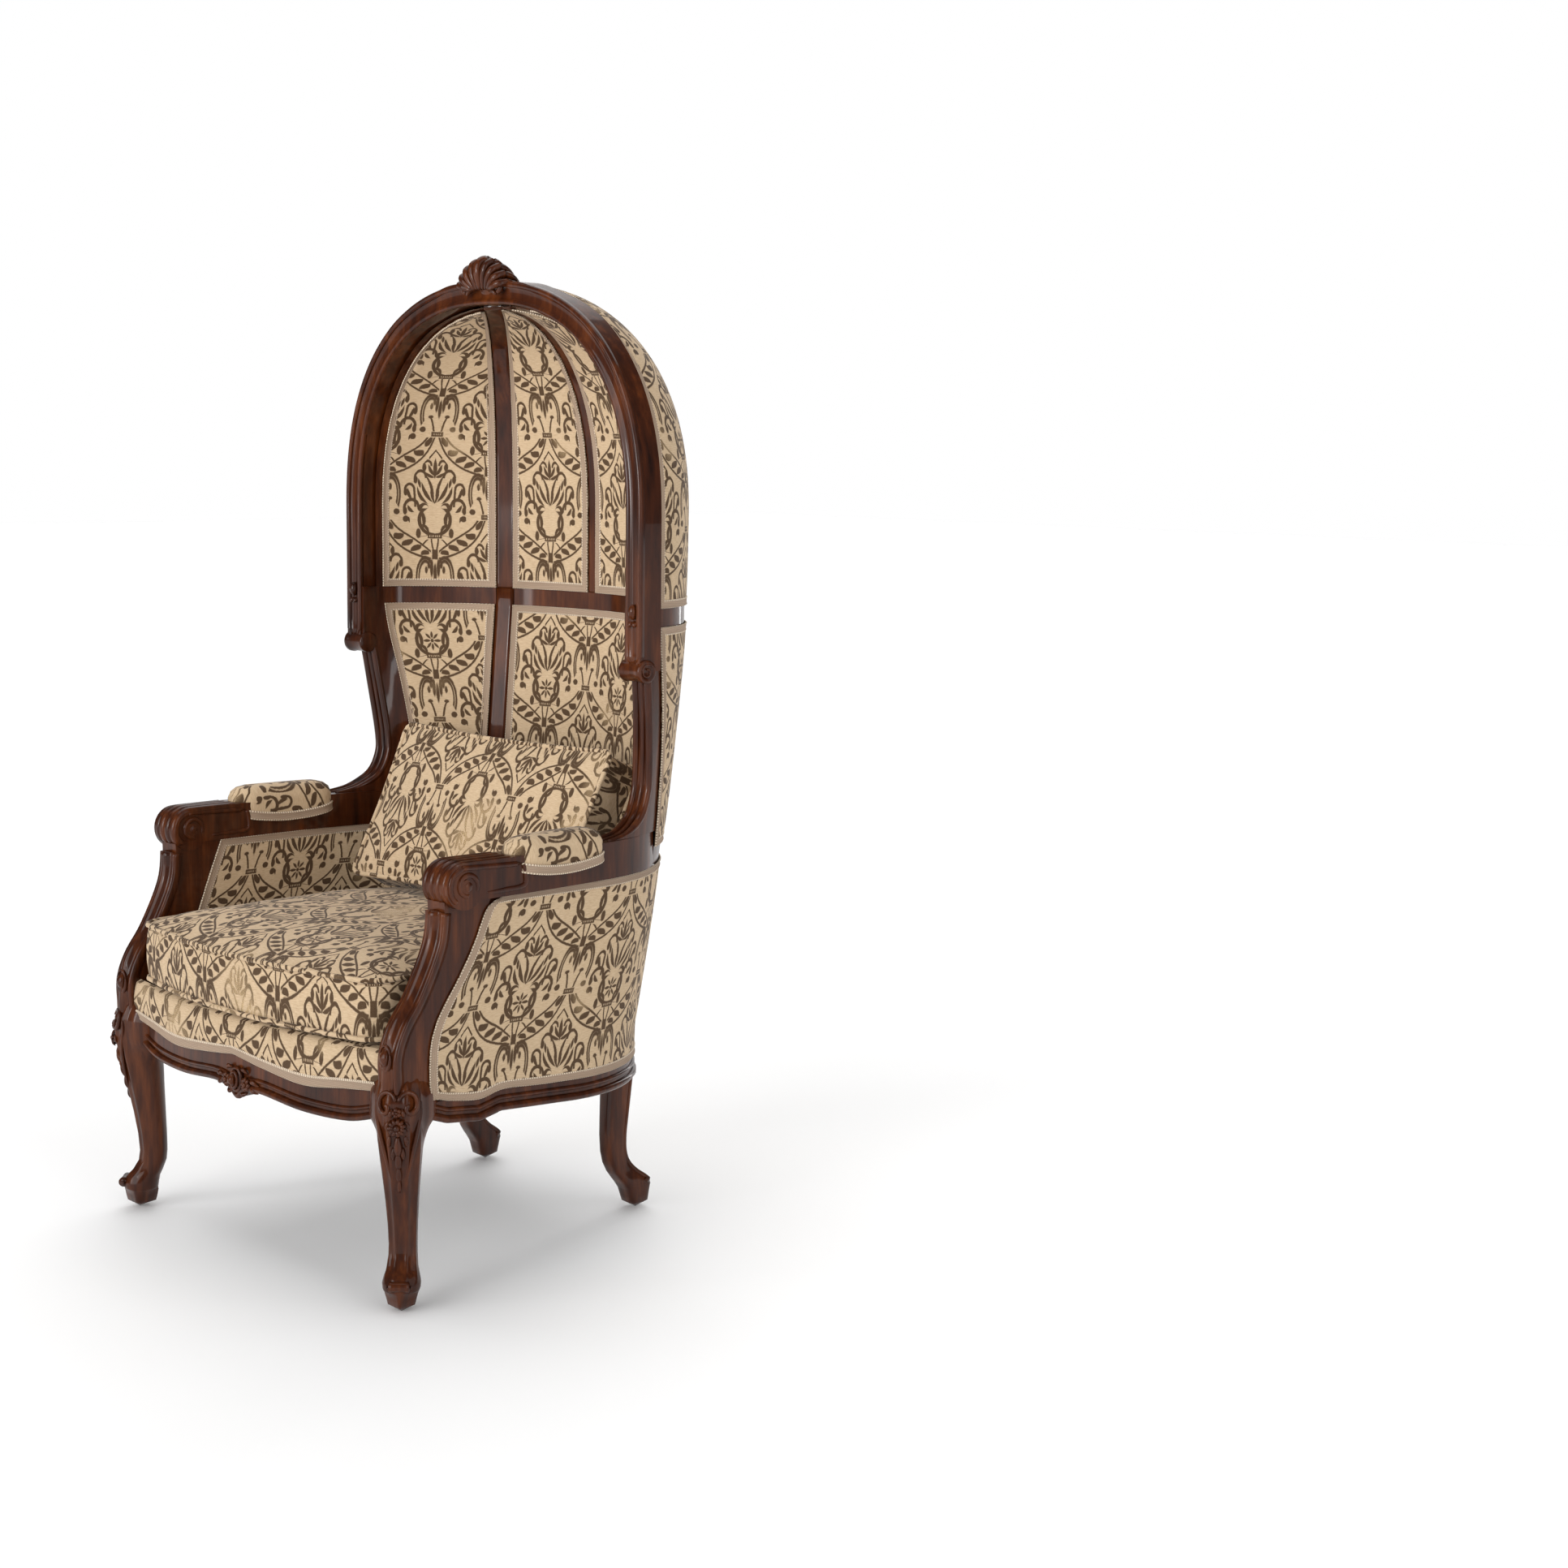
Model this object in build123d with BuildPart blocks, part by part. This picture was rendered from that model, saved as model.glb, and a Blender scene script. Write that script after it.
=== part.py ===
from build123d import *
import os
from math import atan2, cos, degrees, hypot, radians, sin

os.makedirs("parts", exist_ok=True)

# Hall porter chair with a domed hood. Millimetres, +Z up, the front faces -Y, +X is the viewer's right.
# The origin lies on the floor, below the middle of the chair's box.

# Whole chair
chair_height = 1620
cut_overrun = 60
far_reach = 900

# Hood: its plan is half an ellipse about a vertical axis, its profile the arch's curve
arch_half_width = 393
arch_spring_height = 1186
arch_top_height = 1575
arch_curve_power = 2.36
arch_steps = 6
arch_front_y = 122
arch_depth = 40
arch_face_width = 36
arch_bead_width = 9
arch_bead_proud = 5
arch_lip_width = 7
arch_lip_proud = 3
arch_joint_height = 1452
hood_axis_y = 130
hood_half_width = 389
hood_depth = 265
hood_rise = 386
dome_level_shares = (0, 0.15, 0.3, 0.45, 0.58, 0.7, 0.8, 0.88, 0.94, 0.975)
corner_rib_width = 32
centre_rib_width = 22

# Walls: every wall is measured inwards from the face of the show wood
wood_depth = 38
cover_proud = 5
cover_lap = 3
core_inner = 27
lining_inner = 41

# Plan of the walls at the seat, at the arms and at the middle rail
rail_foot_height = 236
seat_level = 350
seat_half_width = 376
seat_axis_y = -8
seat_wall_depth = 322
arm_level = 640
arm_half_width = 388
arm_axis_y = 34
arm_wall_depth = 336
wall_front_half_width = 388
wall_front_y = -368

# Rails
mid_rail_bottom = 1020
mid_rail_top = 1050
arm_rail_bottom = 624
arm_rail_top = 656
seat_rail_top = 350
seat_rail_bottom = 262
side_gimp_height = 318

# Corner posts: the outer face's middle at three heights
post_width = 34
post_seat_x = 197
post_seat_y = 268
post_arm_x = 218
post_arm_y = 312
post_rail_x = 226
post_rail_y = 350
post_outside = 30
post_depth = 150

# Stile below the arch, seen from the side
stile_back_y = 197
stile_waist_y = 162
quarter_end_y = 57
# Outline points: shares of the way back and of the height
stile_back_shares = ((0, 1), (0.2, 0.83), (0.63, 0.6), (0.91, 0.37), (1, 0.16), (1, 0))
stile_front_shares = (
    (0.83, 0.95),
    (0.905, 0.735),
    (1, 0.377),
    (0.97, 0.23),
    (0.8, 0.105),
    (0.43, 0.025),
    (0, 0),
)
scroll_radius = 17
scroll_y = 130
scroll_height = 951
scroll_inner_x = 352
scroll_outer_x = 394

# Arms
volute_radius = 36
volute_y = -244
volute_height = 647
arm_outer_x = 406
arm_inner_x = 348
volute_eye_radius = 11
volute_eye_proud = 3
support_inner_x = 350
support_outer_x = 392
support_foot_y = -363
support_top_y = -184
# Outline points: shares of the way back from the foot and of the height
support_front_shares = ((0, 0), (0, 0.18), (0.09, 0.33), (0.27, 0.5), (0.46, 0.76), (0.5, 1))
support_back_shares = ((0.4, 0), (0.5, 0.2), (0.66, 0.45), (0.84, 0.75), (1, 1))
arm_plan_shares = ((0, 1), (0.3, 0.985), (0.57, 0.86), (0.82, 0.6), (1, 0))
arm_plan_inner_shares = ((0, 1), (0.3, 1), (0.57, 0.97), (0.82, 0.7), (1, 0))
pad_length = 194
pad_width = 64
pad_y = -46
pad_x = 373
pad_skirt_height = 652
pad_shoulder = 699
pad_crown = 707
# The pad's size at its skirt, at the arm's top, at its shoulder and at its crown
pad_size_shares = (0.94, 1, 0.8, 0.42)
pad_slant = -0.09

# Front legs: cabriole, square in section, swept along the diagonal
front_leg_x = 363
front_leg_y = -334
front_leg_width = 56
front_leg_sweep = 24
front_leg_corner_radius = 7
# Each station is a share of the height, of the sweep and of the width
front_leg_shares = (
    (1, 0, 0.95),
    (0.84, 0.1, 1),
    (0.62, -0.2, 0.84),
    (0.4, -0.55, 0.68),
    (0.25, -0.65, 0.62),
    (0.135, 0.3, 0.74),
)
front_foot_share = 0.55
front_foot_sweep_share = 0.4

# Front rail and the fabric border above it
front_rail_end_y = -352
front_rail_bow_y = -383
front_rail_depth = 30
border_proud = 6
border_depth = 22
# Outlines from the middle to the leg: shares of the rail's half width and of its height
front_bottom_shares = ((0, 0.08), (0.07, 0.24), (0.2, 0.29), (0.5, 0.2), (0.8, 0.23), (1, 0.42))
front_wave_shares = ((0, 0.94), (0.26, 0.82), (0.54, 0.73), (0.8, 0.84), (1, 0.91))

# Side rails: shares of the length behind the leg and of the rail's height
side_dip_shares = ((0, 0.42), (0.07, 0.25), (0.17, 0.16))
side_sweep_shares = ((0.17, 0.16), (0.24, 0.25), (0.5, 0.12), (0.8, 0.03), (1, 0))

# Back legs: cabriole, the foot flares to the back
back_leg_x = 187
back_leg_y = 252
back_leg_width = 44
back_leg_spread = 20
back_leg_sweep = 60
back_leg_corner_radius = 7
# Each station is a share of the height, of the spread, of the sweep and of the width
back_leg_shares = (
    (1, 0, 0, 1),
    (0.8, 0.05, 0.02, 1),
    (0.58, 0.2, -0.08, 0.9),
    (0.38, 0.45, -0.26, 0.8),
    (0.27, 0.6, -0.28, 0.78),
    (0.135, 0.9, 0.6, 0.92),
)
back_foot_share = 0.72
back_foot_sweep_share = 0.5

# Seat and loose cushions
rest_gap = 0.3
webbing_thickness = 3
webbing_width = 50
webbing_end_gap = 12
deck_top = 402
cushion_side_gap = 2
cushion_bottom = deck_top + rest_gap
cushion_boxing_bottom = 412
cushion_boxing_top = 503
cushion_crown = 536
cushion_front_bow_y = -397
cushion_front_y = -354
cushion_front_half_width = 330
cushion_roll = 9
cushion_draw_in = 4
crown_spread = 230
# The crown: shares of its rise and of how far it draws in
crown_shares = ((0, 0), (0.45, 0.12), (0.8, 0.4), (0.95, 0.7), (1, 1))
pillow_half_width = 262
pillow_height = 280
pillow_thickness = 96
pillow_lean = 26
pillow_front_y = 27
pillow_front_height = 556.4
pillow_edge_sag = 8
pillow_crown_inset = 90
# From the front face to the back: shares of the thickness and of how far the face draws in
pillow_shares = (
    (0, 1),
    (0.05, 0.62),
    (0.12, 0.26),
    (0.22, 0.06),
    (0.35, 0.02),
    (0.65, 0.02),
    (0.78, 0.06),
    (0.88, 0.26),
    (0.95, 0.62),
    (1, 1),
)

# Crest carving: lobes that fan out and roll backwards
crest_lobe_count = 7
crest_spread = 124
crest_root_height = 1564
crest_root_radius = 4
crest_lobe_radius = 9
crest_side_length = 36
crest_top_length = 47
crest_y = 108
crest_thickness = 38
crest_saddle_height = 22
crest_saddle_width = 60

# Apron carving: an oval boss between two rosettes
boss_width = 30
boss_height = 40
boss_depth = 13
rosette_width = 30
rosette_height = 21
rosette_depth = 9
rosette_offset = 26
# A domed oval: shares of how far it stands proud and of its size
oval_shares = ((-0.6, 1), (0, 1), (0.5, 0.87), (0.87, 0.5), (1, 0.15))
rosette_height_share = 0.38
boss_height_share = 0.42

# Seat frame hardware
block_leg = 62
block_height = 50
dowel_radius = 5
dowel_length = 44
rail_dowel_drop = 22
support_dowel_share = 0.2
screw_radius = 2.2
screw_length = 38
screw_head_radius = 4.5
screw_head_height = 2.5
screw_bite = 16
dust_cover_thickness = 1.5
webbing_shares = (-0.45, -0.15, 0.15, 0.45)
cross_webbing_shares = (-0.75, -0.35, 0.05, 0.45)


# Sizes that follow from the ones above
arch_back_y = arch_front_y + arch_depth
arm_top = volute_height + volute_radius
wall_foot = seat_rail_top + webbing_thickness
rail_height = seat_rail_top - seat_rail_bottom
front_leg_block = front_leg_width * front_leg_shares[0][2] / 2
rail_front_y = front_leg_y + front_leg_block
rail_half_width = front_leg_x - front_leg_block
rib_angle = atan2(post_rail_y - hood_axis_y, post_rail_x)
rib_cos = cos(rib_angle)
rib_sin = sin(rib_angle)


def arch_point(half_width, rise, share):
    """A point of the arch's curve, at a share of the way from the spring line to the crown."""
    turn = radians(90) * share
    across = half_width * cos(turn) ** (2 / arch_curve_power)
    up = rise * sin(turn) ** (2 / arch_curve_power)
    return (across, arch_spring_height + up)


def arch_points(half_width, rise):
    """Points of the arch's curve, from the spring line to the crown."""
    points = [arch_point(half_width, rise, index / arch_steps) for index in range(arch_steps)]
    return points + [(0, arch_spring_height + rise)]


def dome(inset):
    """The hood's solid shape, drawn in by inset all over."""
    half_width = hood_half_width - inset
    depth = hood_depth - inset
    rise = hood_rise - inset
    with BuildPart() as solid:
        with BuildSketch(Plane.XY.offset(mid_rail_bottom)):
            with Locations((0, hood_axis_y)):
                Ellipse(half_width, depth)
        extrude(amount=arch_spring_height - mid_rail_bottom)
        for share in dome_level_shares:
            across, height = arch_point(half_width, rise, share)
            with BuildSketch(Plane.XY.offset(height)):
                with Locations((0, hood_axis_y)):
                    Ellipse(across, across * depth / half_width)
        loft()
    return solid.part


def wall_solid(inset):
    """The body's solid shape below the hood, drawn in by inset all round."""
    levels = (
        (rail_foot_height, seat_half_width, seat_axis_y, seat_wall_depth),
        (seat_level, seat_half_width, seat_axis_y, seat_wall_depth),
        (arm_level, arm_half_width, arm_axis_y, arm_wall_depth),
        (mid_rail_bottom, hood_half_width, hood_axis_y, hood_depth),
        (mid_rail_top, hood_half_width, hood_axis_y, hood_depth),
    )
    with BuildPart() as solid:
        for height, half_width, axis_y, depth in levels:
            side = half_width - inset
            front = wall_front_half_width - inset
            with BuildSketch(Plane.XY.offset(height)):
                with BuildLine():
                    EllipticalCenterArc((0, axis_y), side, depth - inset, start_angle=0, arc_size=180)
                    Polyline((side, axis_y), (front, wall_front_y), (-front, wall_front_y), (-side, axis_y))
                make_face()
        loft(ruled=True)
    return solid.part


def shell(solids, outer_inset, inner_inset):
    """The wall between two of the solids."""
    return solids[outer_inset] - solids[inner_inset]


def toward(along, across, side=1):
    """A point in plan, measured along the corner rib from the hood's axis and across it."""
    x = along * rib_cos - across * rib_sin
    return (side * x, hood_axis_y + along * rib_sin + across * rib_cos)


def column(outline, bottom, top):
    """An upright prism on a plan outline."""
    with BuildPart() as prism:
        with BuildSketch(Plane.XY.offset(bottom)):
            with BuildLine():
                Polyline(*outline, close=True)
            make_face()
        extrude(amount=top - bottom)
    return prism.part


def side_prism(outline_edges):
    """A prism across the whole chair, on an outline in the Y-Z plane."""
    with BuildPart() as prism:
        with BuildSketch(Plane.YZ):
            with BuildLine():
                outline_edges()
            make_face()
        extrude(amount=far_reach, both=True)
    return prism.part


def spread(shares, start, end, bottom, top):
    """Points from shares of the way from start to end and from bottom to top."""
    return [(start + (end - start) * along, bottom + (top - bottom) * up) for along, up in shares]


def cylinder_along(start, direction, radius, length):
    """A round bar from a start point along a direction."""
    with BuildPart() as bar:
        with BuildSketch(Plane(origin=start, z_dir=direction)):
            Circle(radius)
        extrude(amount=length)
    return bar.part


def post_cutter(side):
    """The slanted band that a corner post takes out of the walls."""
    middle = post_depth / 2 - post_outside
    places = (
        (rail_foot_height, post_seat_x, post_seat_y),
        (seat_level, post_seat_x, post_seat_y),
        (arm_level, post_arm_x, post_arm_y),
        (mid_rail_top, post_rail_x, post_rail_y),
    )
    with BuildPart() as band:
        for height, x, y in places:
            origin = (side * (x - middle * rib_cos), y - middle * rib_sin, height)
            with BuildSketch(Plane(origin=origin, x_dir=(side * rib_cos, rib_sin, 0), z_dir=(0, 0, 1))):
                Rectangle(post_depth, post_width)
        loft()
    return band.part


insets = (-cover_proud, 0, cover_lap, core_inner, wood_depth, lining_inner)
domes = {inset: dome(inset) for inset in insets}
walls = {inset: wall_solid(inset) for inset in insets}
wood_wall = shell(walls, 0, wood_depth)
cutters = {side: post_cutter(side) for side in (-1, 1)}
sides = (("left", -1, 0), ("right", 1, -1))


def dowel(start, direction):
    return cylinder_along(start, direction, dowel_radius, dowel_length)


# Dowels in the joints of the show wood
half_dowel = dowel_length / 2
support_dowel_y = support_foot_y + (support_top_y - support_foot_y) * support_dowel_share
support_dowel_x = (support_inner_x + rail_half_width + 2 * front_leg_block) / 2
joint_dowels = []
for name, side, index in sides:
    upright = (side * support_dowel_x, support_dowel_y, seat_rail_top - half_dowel)
    level = (side * (rail_half_width - half_dowel), front_leg_y, seat_rail_top - rail_dowel_drop)
    joint_dowels += [dowel(upright, (0, 0, 1)), dowel(level, (side, 0, 0))]


def arch_ring(inner_inset, outer_inset, front, back):
    """A ring along the arch, between two insets from its outer edge, down to the scrolls."""
    with BuildPart() as ring:
        with BuildSketch(Plane.XZ.offset(-front)):
            for inset, mode in ((outer_inset, Mode.ADD), (inner_inset, Mode.SUBTRACT)):
                half_width = arch_half_width - inset
                rise = arch_top_height - arch_spring_height - inset
                right = arch_points(half_width, rise)
                left = [(-x, z) for x, z in right]
                with BuildSketch(mode=mode):
                    with BuildLine():
                        Spline(*right, tangents=((0, 1), (-1, 0)))
                        Spline(*left, tangents=((0, 1), (1, 0)))
                        Polyline(left[0], (-half_width, scroll_height), (half_width, scroll_height), right[0])
                    make_face()
        extrude(amount=front - back)
    return ring.part


with BuildPart() as arch:
    add(arch_ring(arch_face_width, 0, arch_front_y, arch_back_y))
    add(arch_ring(arch_bead_width, 0, arch_front_y - arch_bead_proud, arch_front_y))
    lip_inset = arch_face_width - arch_lip_width
    add(arch_ring(arch_face_width, lip_inset, arch_front_y - arch_lip_proud, arch_front_y))


def box_between(low, high):
    """A block between two opposite corners."""
    with BuildPart() as block:
        with BuildSketch(Plane.XY.offset(low[2])):
            with Locations(((low[0] + high[0]) / 2, (low[1] + high[1]) / 2)):
                Rectangle(high[0] - low[0], high[1] - low[1])
        extrude(amount=high[2] - low[2])
    return block.part


def stile_zone():
    """Everything forward of the stiles' back edge, above the arm rails."""
    def edges():
        back = spread(stile_back_shares, arch_back_y, stile_back_y, arm_rail_top, mid_rail_top)
        Spline(*back)
        front = -far_reach
        Polyline(back[-1], (front, arm_rail_top), (front, mid_rail_top), back[0])
    return side_prism(edges)


def support_edges():
    """The arm support's two curved edges, in the Y-Z plane."""
    places = (support_foot_y, support_top_y, seat_rail_top, arm_rail_bottom)
    return spread(support_front_shares, *places), spread(support_back_shares, *places)


def support_zone():
    """Everything forward of the arm supports' back edge."""
    def edges():
        back = support_edges()[1]
        Spline(*back)
        front = -far_reach
        below = [(y, rail_foot_height) for y in (front, back[0][0])]
        Polyline(back[-1], (front, arm_rail_bottom), *below, back[0])
    return side_prism(edges)


stile_front_zone = stile_zone()
support_front_zone = support_zone()


def export(piece, label):
    """Name a finished piece and write it."""
    piece.part.label = label
    export_step(piece.part, f"parts/{label}.step")


def wall_band(outer_inset, inner_inset, bottom, top, index):
    """One of the three runs of wall between the corner posts: 0 left, 1 back, -1 right."""
    with BuildPart() as band:
        add(walls[outer_inset])
        add(walls[inner_inset], mode=Mode.SUBTRACT)
        with BuildSketch(Plane.XY.offset(bottom)):
            Rectangle(2 * far_reach, 2 * far_reach)
        extrude(amount=top - bottom, mode=Mode.INTERSECT)
        for cutter in cutters.values():
            add(cutter, mode=Mode.SUBTRACT)
    return band.part.solids().sort_by(Axis.X)[index]


def stile_outline():
    """The stile's front edge in the Y-Z plane, closed behind by straight lines."""
    front = spread(stile_front_shares, quarter_end_y, stile_waist_y, arm_top, scroll_height)
    Polyline((arch_front_y, mid_rail_top), (arch_front_y, scroll_height), front[0])
    Spline(*front)
    Polyline(front[-1], (far_reach, arm_top), (far_reach, mid_rail_top), (arch_front_y, mid_rail_top))


# Arch: two crown pieces that meet behind the crest, and two stiles that sweep into the arms
for name, side, index in sides:
    near, far = sorted((0, side * far_reach))
    with BuildPart() as crown:
        add(arch.part)
        upper_half = box_between((near, -far_reach, arch_joint_height), (far, far_reach, chair_height))
        add(upper_half, mode=Mode.INTERSECT)
    export(crown, f"arch_crown_{name}")

    with BuildPart() as stile:
        add(wood_wall)
        add(side_prism(stile_outline), mode=Mode.INTERSECT)
        add(stile_front_zone, mode=Mode.INTERSECT)
        add(arch.part)
        add(box_between((near, -far_reach, 0), (far, far_reach, arch_joint_height)), mode=Mode.INTERSECT)
        scroll_length = scroll_outer_x - scroll_inner_x
        scroll_start = (side * scroll_inner_x, scroll_y, scroll_height)
        add(cylinder_along(scroll_start, (side, 0, 0), scroll_radius, scroll_length))
    export(stile, f"arch_stile_{name}")

# Hood ribs: two corner ribs and one centre rib, from the middle rail to the crown
rib_front = (arch_back_y - hood_axis_y + corner_rib_width / 2 * rib_cos) / rib_sin
rib_meet = (centre_rib_width / 2 + corner_rib_width / 2 * rib_sin) / rib_cos


def hood_piece(outer_inset, inner_inset, outline):
    """The part of a hood shell that stands on a plan outline, above the middle rail."""
    with BuildPart() as piece:
        add(column(outline, mid_rail_top, chair_height))
        add(domes[outer_inset], mode=Mode.INTERSECT)
        add(domes[inner_inset], mode=Mode.SUBTRACT)
    return piece


half_rib = corner_rib_width / 2
half_centre = centre_rib_width / 2
for name, side, index in sides:
    rib_outline = (
        toward(rib_front, -half_rib, side),
        toward(far_reach, -half_rib, side),
        toward(far_reach, half_rib, side),
        toward(rib_meet, half_rib, side),
        (side * half_centre, arch_back_y),
    )
    rib = hood_piece(0, wood_depth, rib_outline)
    export(rib, f"hood_corner_rib_{name}")

centre_outline = (
    (-half_centre, arch_back_y),
    (half_centre, arch_back_y),
    (half_centre, far_reach),
    (-half_centre, far_reach),
)
export(hood_piece(0, wood_depth, centre_outline), "hood_centre_rib")

# Hood panels: each is an outer cover, a stuffed core and an inner lining
skins = (("cover", -cover_proud, cover_lap), ("lining", core_inner, lining_inner))
core_insets = (cover_lap, core_inner)
hood_outlines = {}
for name, side, index in sides:
    hood_outlines["side", name] = (
        toward(rib_front, -half_rib, side),
        (side * far_reach, arch_back_y),
        toward(far_reach, -half_rib, side),
    )
    hood_outlines["back", name] = (
        toward(rib_meet, half_rib, side),
        toward(far_reach, half_rib, side),
        (side * half_centre, far_reach),
    )
for (place, name), outline in hood_outlines.items():
    for layer, outer_inset, inner_inset in skins:
        export(hood_piece(outer_inset, inner_inset, outline), f"hood_{place}_{layer}_{name}")
for place in ("side", "back"):
    with BuildPart() as hood_cores:
        for name in ("left", "right"):
            add(hood_piece(*core_insets, hood_outlines[place, name]).part)
    export(hood_cores, f"hood_{place}_cores")

# Middle rail: three lengths between the stiles and the corner posts
for name, index in (("left", 0), ("back", 1), ("right", -1)):
    with BuildPart() as rail:
        add(wall_band(0, wood_depth, mid_rail_bottom, mid_rail_top, index))
        behind_arch = box_between((-far_reach, arch_back_y, 0), (far_reach, far_reach, chair_height))
        add(behind_arch, mode=Mode.INTERSECT)
        add(stile_front_zone, mode=Mode.SUBTRACT)
    export(rail, f"middle_rail_{name}")


def box_over(front, bottom, top):
    """Everything behind a plane that faces the front, between two heights."""
    return box_between((-far_reach, front, bottom), (far_reach, far_reach, top))


def rounded_leg(stations, corner_radius):
    """A cabriole leg through square sections, each given by its middle, height and width."""
    with BuildPart() as shaft:
        for x, y, height, width in stations:
            with BuildSketch(Plane(origin=(x, y, height))):
                RectangleRounded(width, width, corner_radius)
        loft()
    return shaft.part


# Screws that hold the corner blocks: heads to the inside, one into each leg
screw_height = seat_rail_top - block_height / 2
screw_reach = screw_length - screw_bite
screw_ends = []
for name, side, index in sides:
    diagonal = (side / hypot(1, 1), -1 / hypot(1, 1), 0)
    screw_ends.append((name, "front", (side * rail_half_width, rail_front_y), diagonal))
    rear = (side * rib_cos, rib_sin, 0)
    inner = (side * (post_seat_x - wood_depth * rib_cos), post_seat_y - wood_depth * rib_sin)
    screw_ends.append((name, "rear", inner, rear))
block_screws = []
for name, place, corner, direction in screw_ends:
    start = [corner[axis] - direction[axis] * screw_reach for axis in (0, 1)] + [screw_height]
    with BuildPart() as screw:
        with BuildSketch(Plane(origin=start, z_dir=direction)):
            Circle(screw_radius)
        extrude(amount=screw_length)
        with BuildSketch(Plane(origin=start, z_dir=direction)):
            Circle(screw_head_radius)
        extrude(amount=-screw_head_height)
    block_screws.append(screw.part)

# Front legs
leg_sweep = front_leg_sweep / hypot(1, 1)
front_legs = {}
for name, side, index in sides:
    stations = []
    for height_share, sweep_share, width_share in front_leg_shares:
        outward = leg_sweep * sweep_share
        place = (side * (front_leg_x + outward), front_leg_y - outward)
        stations.append((*place, seat_rail_top * height_share, front_leg_width * width_share))
    with BuildPart() as front_leg:
        add(rounded_leg(stations, front_leg_corner_radius))
        outward = leg_sweep * front_foot_sweep_share
        foot = (side * (front_leg_x + outward), front_leg_y - outward)
        with BuildSketch(Plane.XY.offset(stations[-1][2])):
            with Locations(stations[-1][:2]):
                RectangleRounded(stations[-1][3], stations[-1][3], front_leg_corner_radius)
        with BuildSketch(Plane.XY):
            with Locations(foot):
                width = front_leg_width * front_foot_share
                RectangleRounded(width, width, front_leg_corner_radius)
        loft()
        for dowel_bar in joint_dowels:
            add(dowel_bar, mode=Mode.SUBTRACT)
        for screw_bar in block_screws:
            add(screw_bar, mode=Mode.SUBTRACT)
    front_legs[side] = front_leg.part
    export(front_leg, f"front_leg_{name}")

# Back legs: each is one timber with the corner post above it
back_legs = {}
for name, side, index in sides:
    stations = []
    for height_share, spread_share, sweep_share, width_share in back_leg_shares:
        x = side * (back_leg_x + back_leg_spread * spread_share)
        y = back_leg_y + back_leg_sweep * sweep_share
        stations.append((x, y, seat_rail_top * height_share, back_leg_width * width_share))
    with BuildPart() as back_leg:
        add(wood_wall)
        add(cutters[side], mode=Mode.INTERSECT)
        add(box_over(-far_reach, seat_rail_bottom, mid_rail_top), mode=Mode.INTERSECT)
        add(rounded_leg(stations, back_leg_corner_radius))
        with BuildSketch(Plane.XY.offset(stations[-1][2])):
            with Locations(stations[-1][:2]):
                RectangleRounded(stations[-1][3], stations[-1][3], back_leg_corner_radius)
        with BuildSketch(Plane.XY):
            foot_y = back_leg_y + back_leg_sweep * back_foot_sweep_share
            with Locations((side * (back_leg_x + back_leg_spread), foot_y)):
                width = back_leg_width * back_foot_share
                RectangleRounded(width, width, back_leg_corner_radius)
        loft()
        for screw_bar in block_screws:
            add(screw_bar, mode=Mode.SUBTRACT)
    back_legs[side] = back_leg.part
    export(back_leg, f"back_leg_{name}")

# Fabric covers of the lower walls, over the rails' upper halves
lower_covers = {}
for name, index in (("left", 0), ("back", 1), ("right", -1)):
    with BuildPart() as cover:
        top = mid_rail_bottom if index == 1 else arm_rail_bottom
        add(wall_band(-cover_proud, cover_lap, side_gimp_height, top, index))
        if index != 1:
            add(support_front_zone, mode=Mode.SUBTRACT)
        for leg in back_legs.values():
            add(leg, mode=Mode.SUBTRACT)
    lower_covers[name] = cover.part
    export(cover, "back_cover" if index == 1 else f"arm_cover_{name}")


def lower_filling(outer_inset, inner_inset, index):
    """A core or a lining between the seat and the arm, or the middle rail at the back."""
    with BuildPart() as filling:
        top = mid_rail_bottom if index == 1 else arm_rail_bottom
        add(wall_band(outer_inset, inner_inset, wall_foot, top, index))
        if index != 1:
            add(support_front_zone, mode=Mode.SUBTRACT)
        for leg in back_legs.values():
            add(leg, mode=Mode.SUBTRACT)
    return filling


for name, index in (("left", 0), ("back", 1), ("right", -1)):
    label = "back_lining" if index == 1 else f"arm_lining_{name}"
    export(lower_filling(core_inner, lining_inner, index), label)
export(lower_filling(*core_insets, 1), "back_core")
with BuildPart() as arm_cores:
    for name, side, index in sides:
        add(lower_filling(*core_insets, index).part)
export(arm_cores, "arm_cores")


def wing_piece(outer_inset, inner_inset, index):
    """A layer of a wing panel, between the arm rail and the middle rail."""
    with BuildPart() as wing:
        add(wall_band(outer_inset, inner_inset, arm_rail_top, mid_rail_bottom, index))
        add(stile_front_zone, mode=Mode.SUBTRACT)
    return wing


for name, side, index in sides:
    for layer, outer_inset, inner_inset in skins:
        export(wing_piece(outer_inset, inner_inset, index), f"wing_{layer}_{name}")
with BuildPart() as wing_cores:
    for name, side, index in sides:
        add(wing_piece(*core_insets, index).part)
export(wing_cores, "wing_cores")

# Arm rails: from the armrest's back end to the corner post
for name, side, index in sides:
    with BuildPart() as arm_rail:
        add(wall_band(0, wood_depth, arm_rail_bottom, arm_rail_top, index))
        add(box_over(stile_back_y, arm_rail_bottom, arm_rail_top), mode=Mode.INTERSECT)
    export(arm_rail, f"arm_rail_{name}")


def arm_wall_x(inset):
    """The wall's half width at the armrest's back end."""
    share = (stile_back_y - arm_axis_y) / (arm_wall_depth - inset)
    return (arm_half_width - inset) * (1 - share**2) ** 0.5


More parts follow.
